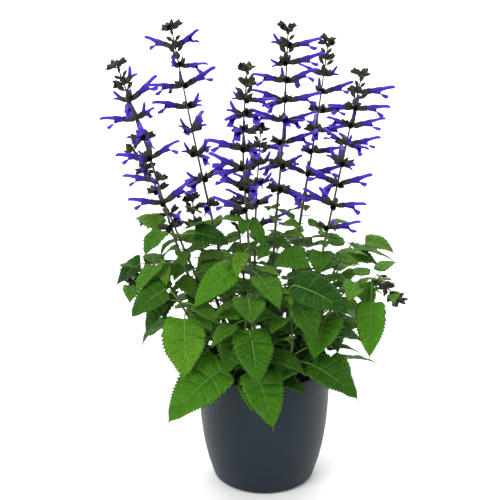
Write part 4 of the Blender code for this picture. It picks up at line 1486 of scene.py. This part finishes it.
for base, tip, half, young in OUTER_LEAVES:
    spine = aimed_spine(Vector(base), Vector(tip), half)
    if free_place(spine):
        outer.append(grown_leaf(spine, dice, dice.uniform(-0.4, 0.8), young))
fitted("outer_leaves", joined(*outer), "leaf")

for number, name in enumerate(sorted(stems)):
    if name.startswith(("stem_", "shoot_")):
        meshes = leaves_of(name, random.Random(600 + number))
        if meshes:
            fitted("small_leaves_" + name, joined(*meshes), "leaf")

# ------------------------------------------------------------------ the studio
# A pale floor with soft light from large panels, and the camera at the height of the blooms.

floor_skin, tree, shader = new_finish("pale_floor", (0.93, 0.93, 0.93), 0.8)
floor_mesh = bpy.data.meshes.new("studio_floor")
floor_mesh.from_pydata([(-6, -6, 0), (6, -6, 0), (6, 6, 0), (-6, 6, 0)], [], [(0, 1, 2, 3)])
floor_mesh.materials.append(floor_skin)
floor = bpy.data.objects.new("studio_floor", floor_mesh)
bpy.context.scene.collection.objects.link(floor)

world = bpy.data.worlds.new("studio_air")
world.use_nodes = True
air = world.node_tree.nodes["Background"]
air.inputs["Color"].default_value = (1.0, 1.0, 1.0, 1.0)
air.inputs["Strength"].default_value = 0.80
bpy.context.scene.world = world


def soft_panel(name, place, aim, size, power):
    """A large square light panel that faces a point."""
    light = bpy.data.lights.new(name, "AREA")
    light.size = size
    light.energy = power
    panel = bpy.data.objects.new(name, light)
    panel.location = place
    panel.rotation_euler = (Vector(aim) - Vector(place)).to_track_quat("-Z", "Y").to_euler()
    bpy.context.scene.collection.objects.link(panel)


# Each panel's place, the point that it faces, its side and its power. The last lights the floor behind.
soft_panel("key_panel", (-1.3, -1.8, 2.0), (0, 0, 0.35), 1.2, 48)
soft_panel("fill_panel", (1.9, -1.2, 1.2), (0, 0, 0.3), 1.2, 8)
soft_panel("top_panel", (0.2, 0.3, 2.4), (0, 0, 0.3), 1.4, 24)
soft_panel("back_panel", (0.0, 4.0, 3.0), (0, 4.0, 0.0), 5.0, 260)

CAMERA_PLACE = (-0.0195, -1.592, 0.8997)
LOOK_DOWN = 19.55
camera_data = bpy.data.cameras.new("camera")
camera_data.lens = 90.36
camera_data.sensor_width = 36.0
camera = bpy.data.objects.new("camera", camera_data)
camera.location = CAMERA_PLACE
camera.rotation_euler = (math.radians(90 - LOOK_DOWN), 0, 0)
bpy.context.scene.collection.objects.link(camera)
bpy.context.scene.camera = camera
bpy.context.scene.view_settings.view_transform = "Standard"
